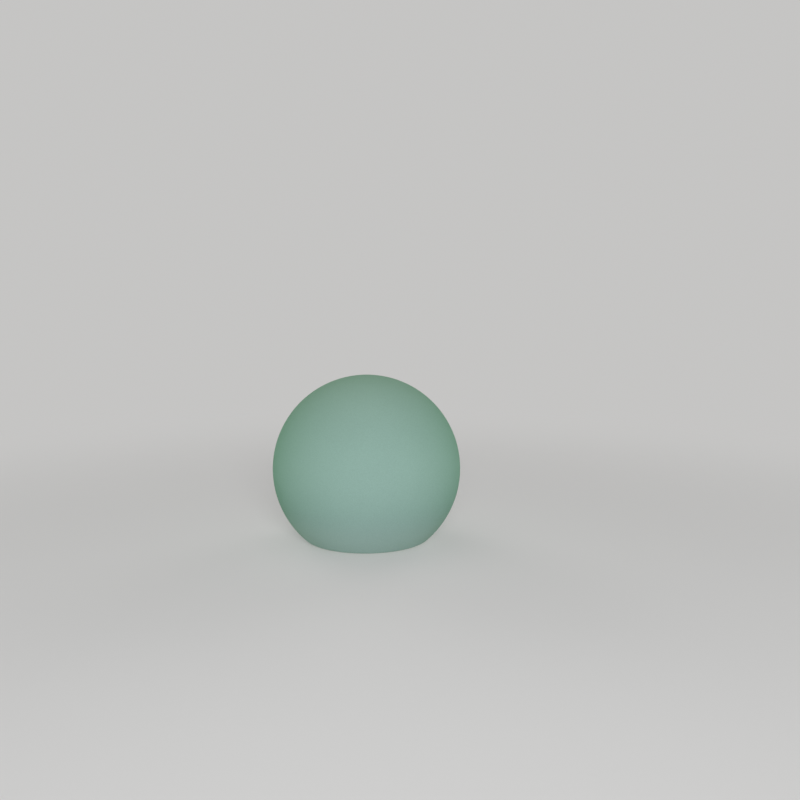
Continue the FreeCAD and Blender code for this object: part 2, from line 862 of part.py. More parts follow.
def port_plug():
    """Silicone plate that swings on its strap, with the lip that fills the socket's mouth."""
    low, high = underside_z, underside_z + plug_thickness
    plate = block(port_hinge_x, port_hinge_x + plug_reach, -plug_length / 2, plug_length / 2, low, high)
    corners = lambda e: is_upright(e) and e.CenterOfMass.x > port_hinge_x + plug_gap
    plate = round_edges(plate, plug_corner_radius, corners)
    tab = block(
        port_hinge_x + plug_reach - pull_tab_reach,
        port_hinge_x + plug_reach + pull_tab_reach,
        -pull_tab_width / 2,
        pull_tab_width / 2,
        low,
        high,
    )
    free_end = lambda e: is_upright(e) and e.CenterOfMass.x > port_hinge_x + plug_reach
    tab = round_edges(tab, plug_thickness, free_end)
    boss = slot(socket_place_x, 0, plug_boss_length, plug_boss_width, high, high + plug_boss_height)
    return plate.fuse([tab, boss]).removeSplitter()


def plug_anchor():
    """The fixed end of the plug's strap, pushed through the cover."""
    low, high = underside_z, underside_z + plug_thickness
    place = anchor_place()
    pad = rod(anchor_radius, low, high, place)
    half = strap_width / 2
    band = block(place.x, port_hinge_x, -half, half, low, high)
    pin = rod(anchor_pin_radius, low, cover_top_z + anchor_head_height, place)
    head = Part.makeCone(
        anchor_pin_radius + 2 * anchor_pin_gap + plug_gap,
        anchor_pin_radius,
        anchor_head_height,
        Vector(place.x, place.y, cover_top_z),
    )
    return pad.fuse([band, pin, head]).removeSplitter()


# Charge light

def light_pipe():
    """Clear pin that carries the charge light to the underside."""
    place = Vector(pipe_place_x, 0, 0)
    stem = rod(pipe_radius, underside_z, board_z - indicator_height - pipe_fit, place)
    flange = rod(pipe_flange_radius, cover_top_z, cover_top_z + pipe_flange_thickness, place)
    return stem.fuse(flange).removeSplitter()


def indicator_led():
    return block_at(pipe_place_x, 0, indicator_side, indicator_side, board_z - indicator_height, board_z)


# Control board

def control_board():
    board = block_at(board_shift, 0, board_length, board_width, board_z, board_top_z)
    board = round_edges(board, board_corner_radius, is_upright)
    for place in board_screw_places():
        board = board.cut(rod(small_screw[0] + screw_clearance, board_z, board_top_z, place))
    return board


def board_screw_places():
    return [Vector(x, y, 0) for x in board_post_x for y in (-board_post_y, board_post_y)]


def board_screws():
    return [screw(small_screw, p, board_top_z, board_screw_length, -1) for p in board_screw_places()]


def controller_chip():
    x, y = chip_place
    low = board_top_z
    body = block_at(x, y, chip_length, chip_width, low + chip_standoff, low + chip_height)
    width = chip_width + 2 * chip_leg_reach
    legs = block_at(x, y, chip_length - chip_leg_reach, width, low, low + chip_leg_height)
    return body.fuse(legs).removeSplitter()


def power_inductor():
    x, y = inductor_place
    side = 2 * inductor_radius
    low = board_top_z
    base = block_at(x, y, side, side, low, low + inductor_base_height)
    core = rod(inductor_radius - inductor_core_inset, low, low + inductor_height, Vector(x, y, 0))
    return base.fuse(core)


def battery_connector():
    face = wire_face_x()
    half = connector_width / 2
    return block(face - connector_depth, face, -half, half, board_top_z, board_top_z + connector_height)


def wire_face_x():
    return board_shift + board_length / 2 - connector_inset


def ribbon_connector():
    face = ribbon_face_y()
    half = connector_width / 2
    return block(-half, half, face - connector_depth, face, board_top_z, board_top_z + connector_height)


def ribbon_face_y():
    return board_width / 2 - ribbon_face_inset


# Battery pack

def battery_cell(side):
    """One round cell, lying along X on its side of the middle."""
    y = side * (cell_diameter + cell_gap) / 2
    end = Vector(-cell_length / 2, y, cell_axis_z)
    cell = Part.makeCylinder(cell_diameter / 2, cell_length, end, Vector(1, 0, 0))
    return bevel_edges(cell, cell_edge_bevel, lambda e: e.Closed)


def battery_tabs():
    """Welded strips: one links the cells in series, and two carry the leads."""
    reach = (cell_diameter + cell_gap) / 2 + tab_width / 2
    near = (wire_pitch - wire_width) / 2
    end = cell_length / 2
    low, high = cell_axis_z - tab_width / 2, cell_axis_z + tab_width / 2
    link = block(-end - tab_thickness, -end, -reach, reach, low, high)
    plus = block(end, end + tab_thickness, near, reach, low, high)
    minus = block(end, end + tab_thickness, -reach, -near, low, high)
    return [link, plus, minus]


def battery_cradle():
    """Saddle under the cells, screwed up into the deck's posts."""
    half_width = pack_half_width + cradle_margin
    cradle = block_at(0, 0, cradle_length, 2 * half_width, cradle_z, cell_z + cradle_rise)
    ear = cradle_post_radius
    for place in cradle_post_places():
        reach = block_at(place.x, place.y / 2, 2 * ear, abs(place.y), cell_z, cradle_ear_top_z())
        cradle = cradle.fuse([reach, rod(ear, cell_z, cradle_ear_top_z(), place)])
    for side in (-1, 1):
        room = cell_diameter / 2 + cradle_fit
        end = Vector(-cell_length, side * (cell_diameter + cell_gap) / 2, cell_axis_z)
        cradle = cradle.cut(Part.makeCylinder(room, 2 * cell_length, end, Vector(1, 0, 0)))
    for place in cradle_post_places():
        cradle = cradle.cut(rod(large_screw[0] + screw_clearance, cell_z, cradle_ear_top_z(), place))
    return cradle.removeSplitter()


def cradle_screws():
    return [screw(large_screw, p, cell_z, cradle_screw_length, 1) for p in cradle_post_places()]


def foam_pad():
    return block_at(0, 0, foam_length, foam_width, cell_top_z, deck_underside_z)


# Light engine

def led_board():
    """Aluminium board with a notch for the ribbon."""
    board = rod(led_board_radius, platform_z, led_board_top_z)
    margin = grommet_wall + grommet_lip + screw_clearance
    half = ribbon_width / 2 + margin + screw_clearance
    inner = ribbon_line_y - ribbon_thickness / 2 - margin - screw_clearance
    board = board.cut(block(-half, half, inner, led_board_radius, platform_z, led_board_top_z))
    for place in led_board_screw_places():
        board = board.cut(rod(small_screw[0] + screw_clearance, platform_z, led_board_top_z, place))
    return board


def led_board_screws():
    length = led_board_screw_length + led_board_thickness
    return [screw(small_screw, p, led_board_top_z, length, -1) for p in led_board_screw_places()]


def led_chips():
    low = led_board_top_z
    chip = block_at(led_ring_radius, 0, led_side, led_side, low, low + led_height)
    return [turned(chip, angle) for angle in around(led_count, 90.0 + 180.0 / led_count)]


def remote_receiver():
    """Receiver for the remote control, standing on its legs in the middle of the LED board."""
    width, depth, height = receiver_size
    low = led_board_top_z + receiver_leg_height
    body = block_at(0, 0, width, depth, low, low + height)
    body = round_edges(body, receiver_edge_radius, is_upright)
    lens_end = Vector(0, -depth / 2 - receiver_lens_proud, low + height / 2)
    lens = Part.makeCylinder(receiver_lens_radius, receiver_lens_proud, lens_end, Vector(0, 1, 0))
    body = body.fuse(lens)
    for k in (-1, 0, 1):
        leg = block_at(k * receiver_leg_pitch, 0, receiver_leg, receiver_leg, led_board_top_z, low)
        body = body.fuse(leg)
    return body.removeSplitter()


def dome_cup(wall):
    """The dome's outside, or with a wall, the space inside it."""
    top_z = dome_top_z - wall
    top_radius = dome_outer - dome_draft - wall
    cup = spun([(0, deck_z), (dome_outer - wall, deck_z), (top_radius, top_z), (0, top_z)])
    return round_edges(cup, dome_edge_radius - wall, lambda e: is_circle_at(e, top_radius, top_z))


def diffuser_dome():
    """Frosted cover over the LEDs."""
    flange = rod(dome_flange_radius, deck_z, deck_z + dome_flange_thickness)
    dome = dome_cup(0.0).fuse(flange).cut(dome_cup(dome_wall))
    for place in dome_screw_places():
        dome = dome.cut(rod(small_screw[0] + screw_clearance, deck_z, deck_z + dome_flange_thickness, place))
    return dome.removeSplitter()


def dome_screws():
    seat = deck_z + dome_flange_thickness
    return [screw(small_screw, p, seat, dome_screw_length, -1) for p in dome_screw_places()]


def dome_seal():
    return tube(dome_seal_inner(), dome_seal_inner() + dome_seal_width, deck_z - dome_seal_depth, deck_z)


# Wires

def ribbon_grommet():
    """Silicone sleeve where the ribbon passes through the deck."""
    top = platform_z + grommet_lip
    sleeve = ribbon_slot(grommet_wall, deck_underside_z, platform_z)
    lip = ribbon_slot(grommet_wall + grommet_lip, platform_z, top)
    return sleeve.fuse(lip).cut(ribbon_slot(0.0, deck_underside_z, top)).removeSplitter()


def led_connector():
    face = led_connector_y
    half = connector_width / 2
    depth = connector_depth / 2
    return block(-half, half, face - depth, face, led_board_top_z, led_board_top_z + connector_height)


def led_ribbon():
    """Flat cable from the control board up through the deck to the LED board."""
    top = led_board_top_z + connector_height / 2
    points = [
        (ribbon_face_y(), connector_mid_z),
        (ribbon_line_y, connector_mid_z),
        (ribbon_line_y, top),
        (led_connector_y, top),
    ]
    edge = lambda p: Vector(-ribbon_width / 2, p[0], p[1])
    return strip(points, ribbon_bend, ribbon_thickness, edge, Vector(ribbon_width, 0, 0))


def battery_wire(side):
    """One lead from the welded strip down to the control board."""
    near = side * wire_pitch / 2 - wire_width / 2
    points = [
        (pack_half_length, cell_axis_z),
        (wire_line_x, cell_axis_z),
        (wire_line_x, connector_mid_z),
        (wire_face_x(), connector_mid_z),
    ]
    edge = lambda p: Vector(p[0], near, p[1])
    return strip(points, wire_bend, wire_width, edge, Vector(0, wire_width, 0))


pieces = {
    "globe_shell": globe_shell,
    "neck_ring": neck_ring,
    "globe_gasket": globe_gasket,
    "base_housing": base_housing,
    "bottom_cover": bottom_cover,
    "cover_seal": cover_seal,
    "cover_screws": cover_screws,
    "rubber_feet": rubber_feet,
    "power_button": power_button,
    "button_membrane": button_membrane,
    "membrane_clamp": membrane_clamp,
    "switch_body": switch_body,
    "switch_plunger": switch_plunger,
    "charge_socket": charge_socket,
    "port_plug": port_plug,
    "plug_anchor": plug_anchor,
    "light_pipe": light_pipe,
    "indicator_led": indicator_led,
    "control_board": control_board,
    "board_screws": board_screws,
    "controller_chip": controller_chip,
    "power_inductor": power_inductor,
    "battery_connector": battery_connector,
    "ribbon_connector": ribbon_connector,
    "battery_cell_front": lambda: battery_cell(-1),
    "battery_cell_rear": lambda: battery_cell(1),
    "battery_tabs": battery_tabs,
    "battery_cradle": battery_cradle,
    "cradle_screws": cradle_screws,
    "foam_pad": foam_pad,
    "led_board": led_board,
    "led_board_screws": led_board_screws,
    "led_chips": led_chips,
    "remote_receiver": remote_receiver,
    "diffuser_dome": diffuser_dome,
    "dome_screws": dome_screws,
    "dome_seal": dome_seal,
    "ribbon_grommet": ribbon_grommet,
    "led_connector": led_connector,
    "led_ribbon": led_ribbon,
    "battery_wire_red": lambda: battery_wire(1),
    "battery_wire_black": lambda: battery_wire(-1),
}

os.makedirs("parts", exist_ok=True)
for name, make in pieces.items():
    made = make()
    shape = Part.makeCompound(made) if isinstance(made, list) else made
    shape.exportStep(os.path.join("parts", name + ".step"))

print("overall height", round(globe_centre_z + globe_radius, 2), "mm")
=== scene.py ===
# Garden globe light: a frosted globe that glows mint green, on its twist-off base.
# Metres, +Z up, with the floor at z 0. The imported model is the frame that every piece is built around.
import bpy
import json
import math
from mathutils import Matrix, Vector


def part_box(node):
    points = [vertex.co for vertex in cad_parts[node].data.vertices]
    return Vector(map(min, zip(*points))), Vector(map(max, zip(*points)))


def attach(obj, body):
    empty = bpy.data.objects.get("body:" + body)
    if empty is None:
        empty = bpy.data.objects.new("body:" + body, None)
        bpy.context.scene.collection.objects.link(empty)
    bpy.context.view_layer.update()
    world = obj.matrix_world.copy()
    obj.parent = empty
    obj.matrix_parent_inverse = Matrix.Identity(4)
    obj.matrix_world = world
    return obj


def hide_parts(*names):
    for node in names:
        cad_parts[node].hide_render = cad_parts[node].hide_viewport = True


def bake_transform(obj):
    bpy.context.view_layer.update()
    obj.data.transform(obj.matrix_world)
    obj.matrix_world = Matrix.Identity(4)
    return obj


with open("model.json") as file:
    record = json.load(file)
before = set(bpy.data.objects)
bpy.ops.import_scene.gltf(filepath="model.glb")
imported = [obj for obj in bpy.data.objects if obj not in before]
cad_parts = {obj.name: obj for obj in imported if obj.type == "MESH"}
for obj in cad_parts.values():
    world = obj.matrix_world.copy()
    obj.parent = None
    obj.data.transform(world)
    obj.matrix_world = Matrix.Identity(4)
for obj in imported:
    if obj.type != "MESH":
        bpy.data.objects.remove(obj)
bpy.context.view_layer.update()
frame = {"nodes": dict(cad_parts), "record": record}
nodes = frame["nodes"]
print("frame loaded:", len(nodes), "nodes")


# Camera

camera = {
    "focalPixels": 925.0,
    "imagePixels": 800.0,
    "sensorWidth": 36.0,
    "nearest": 0.01,
    "ballDistance": 0.996,
    "ballElevation": 11.3,           # degrees above the horizon, of the line from the globe to the lens
    "ballPixel": (366.8, 467.8),     # where the globe's middle falls in the picture
}
globeRadius = 0.1
globeCentre = Vector((0, 0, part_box("globe_shell")[1].z - globeRadius))


def makeCamera():
    middle = camera["imagePixels"] / 2
    across = (camera["ballPixel"][0] - middle) / camera["focalPixels"]
    down = (camera["ballPixel"][1] - middle) / camera["focalPixels"]
    pitch = math.radians(camera["ballElevation"]) - math.atan(down)
    forward = Vector((0, math.cos(pitch), -math.sin(pitch)))
    up = Vector((0, math.sin(pitch), math.cos(pitch)))
    depth = camera["ballDistance"] / math.sqrt(1 + across**2 + down**2)
    place = globeCentre - depth * (forward + across * Vector((1, 0, 0)) - down * up)
    data = bpy.data.cameras.new("camera")
    data.sensor_width = camera["sensorWidth"]
    data.lens = camera["focalPixels"] * camera["sensorWidth"] / camera["imagePixels"]
    data.clip_start = camera["nearest"]
    made = bpy.data.objects.new("camera", data)
    made.location = place
    made.rotation_euler = (math.pi / 2 - pitch, 0, 0)
    bpy.context.scene.collection.objects.link(made)
    bpy.context.scene.camera = made


makeCamera()
bpy.context.scene.view_settings.view_transform = "Standard"
print("camera in place")


# Material nodes, with sums on sockets written as Python

class Link:
    def __init__(self, tree, socket=None):
        self.tree = tree
        self.socket = socket

    def node(self, kind, settings=None, values=None, output=0):
        made = self.tree.nodes.new("ShaderNode" + kind)
        for key, value in (settings or {}).items():
            if key == "stops":
                self.setStops(made.color_ramp, value)
            else:
                setattr(made, key, value)
        for key, value in (values or {}).items():
            if isinstance(value, Link):
                self.tree.links.new(value.socket, made.inputs[key])
            else:
                made.inputs[key].default_value = value
        return Link(self.tree, made.outputs[output])

    def setStops(self, ramp, stops):
        ramp.interpolation = "B_SPLINE"
        while len(ramp.elements) < len(stops):
            ramp.elements.new(0.5)
        for element, (position, level) in zip(ramp.elements, stops):
            element.position = position
            element.color = (*level, 1)

    def math(self, operation, *others):
        return self.node("Math", {"operation": operation}, dict(enumerate((self, *others))))

    def __add__(self, other):
        return self.math("ADD", other)

    __radd__ = __add__

    def __sub__(self, other):
        return self.math("SUBTRACT", other)

    def __rsub__(self, other):
        return self.node("Math", {"operation": "SUBTRACT"}, {0: other, 1: self})

    def __mul__(self, other):
        return self.math("MULTIPLY", other)

    __rmul__ = __mul__

    def __truediv__(self, other):
        return self.math("DIVIDE", other)

    def __pow__(self, other):
        return self.math("POWER", other)

    def __abs__(self):
        return self.math("ABSOLUTE")

    def band(self, middle, width, soft=0.3):         # 1 within a width about the middle, with soft edges
        return 1 - abs(self - middle).rise(width / 2 * (1 - soft), width / 2 * (1 + soft))

    def rise(self, low, high):                       # 0 below low, 1 above high, smooth between
        return self.node("MapRange", {"interpolation_type": "SMOOTHSTEP"}, {0: self, 1: low, 2: high})

    def mix(self, first, second):                    # a colour between two, with this socket as the factor
        colours = [c if isinstance(c, Link) else (*c, 1) for c in (first, second)]
        return self.node("Mix", {"data_type": "RGBA"}, {0: self, 6: colours[0], 7: colours[1]}, 2)


def newMaterial(name, **constants):
    made = bpy.data.materials.new(name)
    made.use_nodes = True
    shader = made.node_tree.nodes["Principled BSDF"]
    for key, value in constants.items():
        shader.inputs[key.replace("_", " ")].default_value = value
    return made, Link(made.node_tree)


def feed(made, **links):
    shader = made.node_tree.nodes["Principled BSDF"]
    for key, link in links.items():
        made.node_tree.links.new(link.socket, shader.inputs[key.replace("_", " ")])
    return made


def places(link):                                    # object coordinates, as a vector and as x, y and z
    spot = link.node("TexCoord", output="Object")
    split = link.node("SeparateXYZ", values={0: spot})
    return spot, *(Link(link.tree, output) for output in split.socket.node.outputs)


def noise(spot, size, detail=2.0, roughness=0.5):    # size is that of its patches, in metres
    values = {"Vector": spot, "Scale": 1 / size, "Detail": detail, "Roughness": roughness}
    return spot.node("TexNoise", values=values)


def stretch(spot, factors):
    return spot.node("VectorMath", {"operation": "MULTIPLY"}, {0: spot, 1: factors})


def fromAxis(x, y):
    return (x * x + y * y) ** 0.5


def bump(height, distance, under=None):              # height runs 0 to 1, distance is its depth in metres
    values = {"Height": height, "Distance": distance, "Strength": 1.0}
    if under:
        values["Normal"] = under
    return height.node("Bump", values=values)


def around(pattern, middle, spread):                 # values about a middle, from a pattern of 0 to 1
    return pattern * spread + (middle - spread / 2)


def shaded(colour, level):
    return [c * level for c in colour]


black = (0, 0, 0)


# Globe

globe = {
    "colour": (0.217, 0.259, 0.286),
    "cloudSize": 0.06,
    "cloudiness": 0.08,
    "frostSize": 0.0008,
    "frost": 0.08,                   # how far the frosting's specks stand out
    "glowByHeight": [                # share of its height, and the colour that it glows in there
        (0.0, (0.07, 0.13, 0.08)),
        (0.1, (0.06, 0.126, 0.064)),
        (0.2, (0.027, 0.107, 0.037)),
        (0.3, (0.02, 0.116, 0.032)),
        (0.5, (0.046, 0.16, 0.06)),
        (0.75, (0.024, 0.13, 0.03)),
        (1.0, (0.058, 0.146, 0.053)),
    ],
    "specular": 0.05,
    "roughness": 0.85,
    "grain": 0.0007,
    "grainDepth": 0.00005,
    "waveSize": 0.006,               # slow waves that the mould leaves
    "waveDepth": 0.00004,
    "insideRadius": 0.0985,          # nearer to the middle than this is the inner face, lit from inside
    "insideEdge": 0.0005,
    "insideFrom": 0.014,
    "insideTo": 0.016,
    "insideGlow": ((0.12, 0.3, 0.2), (0.34, 0.54, 0.46)),    # at the top and down by the lights
    "insidePatches": 0.2,
    "partingWidth": 0.0007,
    "partingHeight": 0.00006,
    "scuffColour": (0.42, 0.44, 0.43),
    "scuffSize": 0.004,
    "scuffShare": 0.1,
    "scuffLow": 0.004,               # from here up to scuffHigh, grass and gravel scuff it less and less
    "scuffHigh": 0.03,
}


def frostedGlobe():
    made, link = newMaterial("frostedGlobe", Emission_Strength=1.0, Specular_IOR_Level=globe["specular"])
    spot, x, y, z = places(link)
    cloud = noise(spot, globe["cloudSize"], 3.0)
    frost = noise(spot, globe["frostSize"], 2.0).rise(0.3, 0.7)
    scratches = noise(stretch(spot, (1, 1, 5)), globe["scuffSize"], 3.0).rise(0.64, 0.72)
    scuffs = scratches * (1 - z.rise(globe["scuffLow"], globe["scuffHigh"]))
    dull = cloud * globe["cloudiness"] + frost * globe["frost"]
    tint = dull.mix(globe["colour"], black)
    tint = (scuffs * globe["scuffShare"]).mix(tint, globe["scuffColour"])
    height = z / (globeCentre.z + globeRadius)
    shade = link.node("ValToRGB", {"stops": globe["glowByHeight"]}, {0: height})
    level = z - globeCentre.z
    reach = fromAxis(fromAxis(x, y), level)
    inner = 1 - reach.rise(globe["insideRadius"] - globe["insideEdge"], globe["insideRadius"])
    inside = inner * z.rise(globe["insideFrom"], globe["insideTo"])
    upward = level.rise(-globeRadius, globeRadius) + (cloud - 0.5) * globe["insidePatches"]
    lit = upward.mix(*reversed(globe["insideGlow"]))
    glow = inside.mix(dull.mix(shade, black), lit)
    grain = bump(noise(spot, globe["grain"], 2.0), globe["grainDepth"])
    waves = bump(noise(spot, globe["waveSize"], 1.0), globe["waveDepth"], grain)
    parting = bump(y.band(0, globe["partingWidth"]), globe["partingHeight"], waves)
    rough = around(noise(spot, 0.02, 3.0), globe["roughness"], 0.1) + scuffs * 0.15
    return feed(made, Base_Color=tint, Emission_Color=glow, Roughness=rough, Normal=parting)


# Moulded plastics, silicones and rubber

mouldings = {
    "white_base": {
        "colour": (0.77, 0.78, 0.765),
        "patch": 0.03, "grain": 0.0005, "depth": 0.00002, "roughness": 0.5,
    },
    "neck_plastic": {
        "colour": (0.74, 0.76, 0.75),
        "patch": 0.03, "grain": 0.0007, "depth": 0.00001, "roughness": 0.4,
    },
    "grey_silicone": {
        "colour": (0.17, 0.18, 0.18),
        "patch": 0.01, "grain": 0.0003, "depth": 0.00001, "roughness": 0.6,
    },
    "white_silicone": {
        "colour": (0.6, 0.61, 0.6),
        "patch": 0.01, "grain": 0.0003, "depth": 0.00001, "roughness": 0.55,
    },
    "foot_rubber": {
        "colour": (0.022, 0.022, 0.024),
        "patch": 0.004, "grain": 0.0004, "depth": 0.00004, "roughness": 0.75,
    },
    "button_plastic": {
        "colour": (0.44, 0.46, 0.46),
        "patch": 0.01, "grain": 0.0004, "depth": 0.00001, "roughness": 0.42,
    },
    "black_plastic": {
        "colour": (0.018, 0.018, 0.02),
        "patch": 0.004, "grain": 0.0003, "depth": 0.00001, "roughness": 0.4,
    },
    "cradle_plastic": {
        "colour": (0.03, 0.03, 0.033),
        "patch": 0.02, "grain": 0.0005, "depth": 0.00002, "roughness": 0.5,
    },
    "connector_nylon": {
        "colour": (0.74, 0.71, 0.6),
        "patch": 0.004, "grain": 0.0004, "depth": 0.00001, "roughness": 0.45,
    },
    "red_wire": {
        "colour": (0.42, 0.012, 0.012),
        "patch": 0.004, "grain": 0.0006, "depth": 0.00001, "roughness": 0.35,
    },
    "black_wire": {
        "colour": (0.012, 0.012, 0.013),
        "patch": 0.004, "grain": 0.0006, "depth": 0.00001, "roughness": 0.35,
    },
}
wear = {
    "dust": (0.42, 0.41, 0.38),
    "dustShare": 0.22,
    "dustSize": 0.0016,
    "dustAbove": 0.3,                # what lies higher up, as a share of what lies near the ground
    "dustySlots": ["grey_silicone", "foot_rubber", "white_base"],
    "groundHeight": 0.0035,          # below this the base picks up dust from the ground
    "lugRadius": 0.0444,             # outside this the base's lugs and stops are rubbed by the neck
    "lugLow": 0.0155,
    "rubbed": (0.6, 0.61, 0.6),
    "rubSize": 0.006,
    "rubShare": 0.5,
    "dishRing": 0.00045,             # from ring to ring in the button's dish
    "dishRingDepth": 0.00001,
}


def moulding(slot):
    row = mouldings[slot]
    made, link = newMaterial(slot, Specular_IOR_Level=0.4)
    spot, x, y, z = places(link)
    patch = noise(spot, row["patch"], 3.0)
    tint = patch.rise(0.3, 0.7).mix(shaded(row["colour"], 0.94), row["colour"])
    rough = around(patch, row["roughness"], 0.12)
    normal = bump(noise(spot, row["grain"], 2.0), row["depth"])
    if slot in wear["dustySlots"]:
        specks = noise(spot, wear["dustSize"], 4.0).rise(0.55, 0.75)
        low = 1 - z.rise(wear["groundHeight"] * 0.6, wear["groundHeight"])
        dust = specks * (low * (1 - wear["dustAbove"]) + wear["dustAbove"]) * wear["dustShare"]
        tint = dust.mix(tint, wear["dust"])
        rough = rough + dust * 0.3
    if slot == "white_base":
        outside = fromAxis(x, y).rise(wear["lugRadius"], wear["lugRadius"] + 0.0002)
        rub = outside * z.rise(wear["lugLow"], wear["lugLow"] + 0.001)
        streaks = noise(stretch(spot, (1, 1, 8)), wear["rubSize"], 3.0).rise(0.45, 0.65) * rub
        tint = (streaks * wear["rubShare"]).mix(tint, wear["rubbed"])
        rough = rough - streaks * 0.15
    if slot == "button_plastic":
        turned = (fromAxis(x, y) / wear["dishRing"]).math("FRACT")
        normal = bump(turned.band(0.5, 0.5), wear["dishRingDepth"], normal)
    return feed(made, Base_Color=tint, Roughness=rough, Normal=normal)


# Metals

metals = {
    "screw_steel": {
        "colour": (0.56, 0.56, 0.54), "dull": (0.4, 0.4, 0.38),
        "roughness": 0.32, "brushed": (1, 1, 1),
    },
    "socket_steel": {
        "colour": (0.6, 0.6, 0.61), "dull": (0.46, 0.46, 0.47),
        "roughness": 0.28, "brushed": (1, 1, 0.1),
    },
    "nickel_strip": {
        "colour": (0.6, 0.57, 0.5), "dull": (0.44, 0.41, 0.35),
        "roughness": 0.3, "brushed": (1, 0.1, 1),
    },
    "stainSize": 0.002,
    "grainSize": 0.0004,
    "grainDepth": 0.000006,
}
welds = {
    "colour": (0.3, 0.26, 0.2),
    "colourShare": 0.6,
    "spacing": 0.003,
    "radius": 0.0006,
    "depth": 0.00012,
    "cellY": 0.00935,
    "cellZ": 0.0292,
}


def metal(slot):
    row = metals[slot]
    made, link = newMaterial(slot, Metallic=1.0)
    spot, _, y, z = places(link)
    stain = noise(spot, metals["stainSize"], 4.0).rise(0.4, 0.7)
    grain = noise(stretch(spot, row["brushed"]), metals["grainSize"], 3.0)
    tint = stain.mix(row["colour"], row["dull"])
    rough = around(grain, row["roughness"], 0.16) + stain * 0.1
    normal = bump(grain, metals["grainDepth"])
    if slot == "nickel_strip":                       # four spot welds on each end of each cell
        across = abs(abs(abs(y) - welds["cellY"]) - welds["spacing"] / 2)
        along = abs(abs(z - welds["cellZ"]) - welds["spacing"] / 2)
        weld = 1 - fromAxis(across, along).rise(welds["radius"] * 0.6, welds["radius"])
        tint = (weld * welds["colourShare"]).mix(tint, welds["colour"])
        normal = bump(1 - weld, welds["depth"], normal)
    return feed(made, Base_Color=tint, Roughness=rough, Normal=normal)


# Circuit boards

boards = {
    "green_board": {"mask": (0.012, 0.115, 0.045), "trace": (0.03, 0.2, 0.075), "roughness": 0.32},
    "white_board": {"mask": (0.76, 0.76, 0.74), "trace": (0.68, 0.68, 0.66), "roughness": 0.4},
    "blotch": 0.008,
    "lane": 0.00127,                 # from trace to trace
    "laneWidth": 0.36,               # of a trace, as a share of its lane
    "laneShare": 0.42,               # how many steps of the lanes hold a trace
    "run": 0.0063,                   # length of a trace's step
    "viaRadius": 0.0003,
    "viaShare": 0.16,
    "viaColour": (0.5, 0.42, 0.22),
    "traceDepth": 0.000035,
    "ringRadii": [0.0172, 0.0228],   # power rings on the LED board
    "ringWidth": 0.0016,
    "hubRadius": 0.0016,
}


def coin(link, first, second, chance):               # 1 in a share of the cells of a grid, by its two numbers
    cell = link.node("CombineXYZ", values={0: first.math("FLOOR"), 1: second.math("FLOOR")})
    return link.node("TexWhiteNoise", {"noise_dimensions": "2D"}, {"Vector": cell}).math("LESS_THAN", chance)


def lanes(link, along, across):
    step, lane = along / boards["run"], across / boards["lane"]
    line = lane.math("FRACT").band(0.5, boards["laneWidth"])
    return line * coin(link, step, lane, boards["laneShare"])


def circuitBoard(slot):
    row = boards[slot]
    made, link = newMaterial(slot, Coat_Weight=0.25, Coat_Roughness=0.2)
    spot, x, y = places(link)[:3]
    if slot == "green_board":
        first, second = lanes(link, x, y), lanes(link, y, x)
        traces = first.math("MAXIMUM", second)
        gridX, gridY = x / boards["run"], y / boards["lane"]
        offX = (gridX.math("FRACT") - 0.5) * boards["run"]
        offY = (gridY.math("FRACT") - 0.5) * boards["lane"]
        pad = 1 - fromAxis(offX, offY).rise(boards["viaRadius"] * 0.7, boards["viaRadius"])
        via = pad * coin(link, gridX, gridY, boards["viaShare"])
    else:
        rings = [fromAxis(x, y).band(radius, boards["ringWidth"]) for radius in boards["ringRadii"]]
        traces = rings[0] + rings[1]
        via = (1 - fromAxis(x, y).rise(boards["hubRadius"] - 0.0002, boards["hubRadius"])) * 0.4
    blotch = noise(spot, boards["blotch"], 3.0)
    tint = (traces * 0.9 + blotch * 0.1).mix(row["mask"], row["trace"])
    tint = via.mix(tint, boards["viaColour"])
    rough = around(blotch, row["roughness"], 0.1)
    normal = bump(traces.math("MAXIMUM", via), boards["traceDepth"])
    return feed(made, Base_Color=tint, Roughness=rough, Metallic=via * 0.8, Normal=normal)


# Light engine and its frosted cover

lights = {
    "count": 9,
    "ringRadius": 0.020,
    "firstAngle": 110.0,
    "wellRadius": 0.0019,
    "package": (0.78, 0.8, 0.77),
    "packageRoughness": 0.35,
    "die": (0.62, 0.7, 0.4),
    "dieGlow": (0.5, 1.0, 0.72),
    "dome": (0.36, 0.42, 0.4),
    "domeRoughness": 0.47,
    "domeGrain": 0.0005,
    "domeGrainDepth": 0.00002,
    "domeGlow": (0.17, 0.36, 0.27),
    "rimGlow": 0.35,                 # of the dome's glow, down at its rim
    "rimHeights": (0.0435, 0.049),   # over these heights the glow comes up
    "spotGlow": (0.4, 0.62, 0.52),
    "spotSize": 0.0065,
    "spotHeights": (0.047, 0.06),
}


def fromLight(x, y):                                 # distance from the nearest of the lights in their ring
    turn = y.math("ARCTAN2", x) - math.radians(lights["firstAngle"]) + 8 * math.pi
    fold = turn.math("PINGPONG", math.pi / lights["count"])
    reach = fromAxis(x, y)
    return fromAxis(reach * fold.math("COSINE") - lights["ringRadius"], reach * fold.math("SINE"))


def ledPackage():
    made, link = newMaterial("ledPackage", Emission_Strength=1.0, Coat_Weight=0.3, Coat_Roughness=0.15)
    spot, x, y = places(link)[:3]
    well = 1 - fromLight(x, y).rise(lights["wellRadius"] * 0.85, lights["wellRadius"])
    resin = noise(spot, 0.002).mix(shaded(lights["package"], 0.95), lights["package"])
    tint = well.mix(resin, lights["die"])
    glow = well.mix(black, lights["dieGlow"])
    rough = around(noise(spot, 0.001), lights["packageRoughness"], 0.1)
    return feed(made, Base_Color=tint, Emission_Color=glow, Roughness=rough)


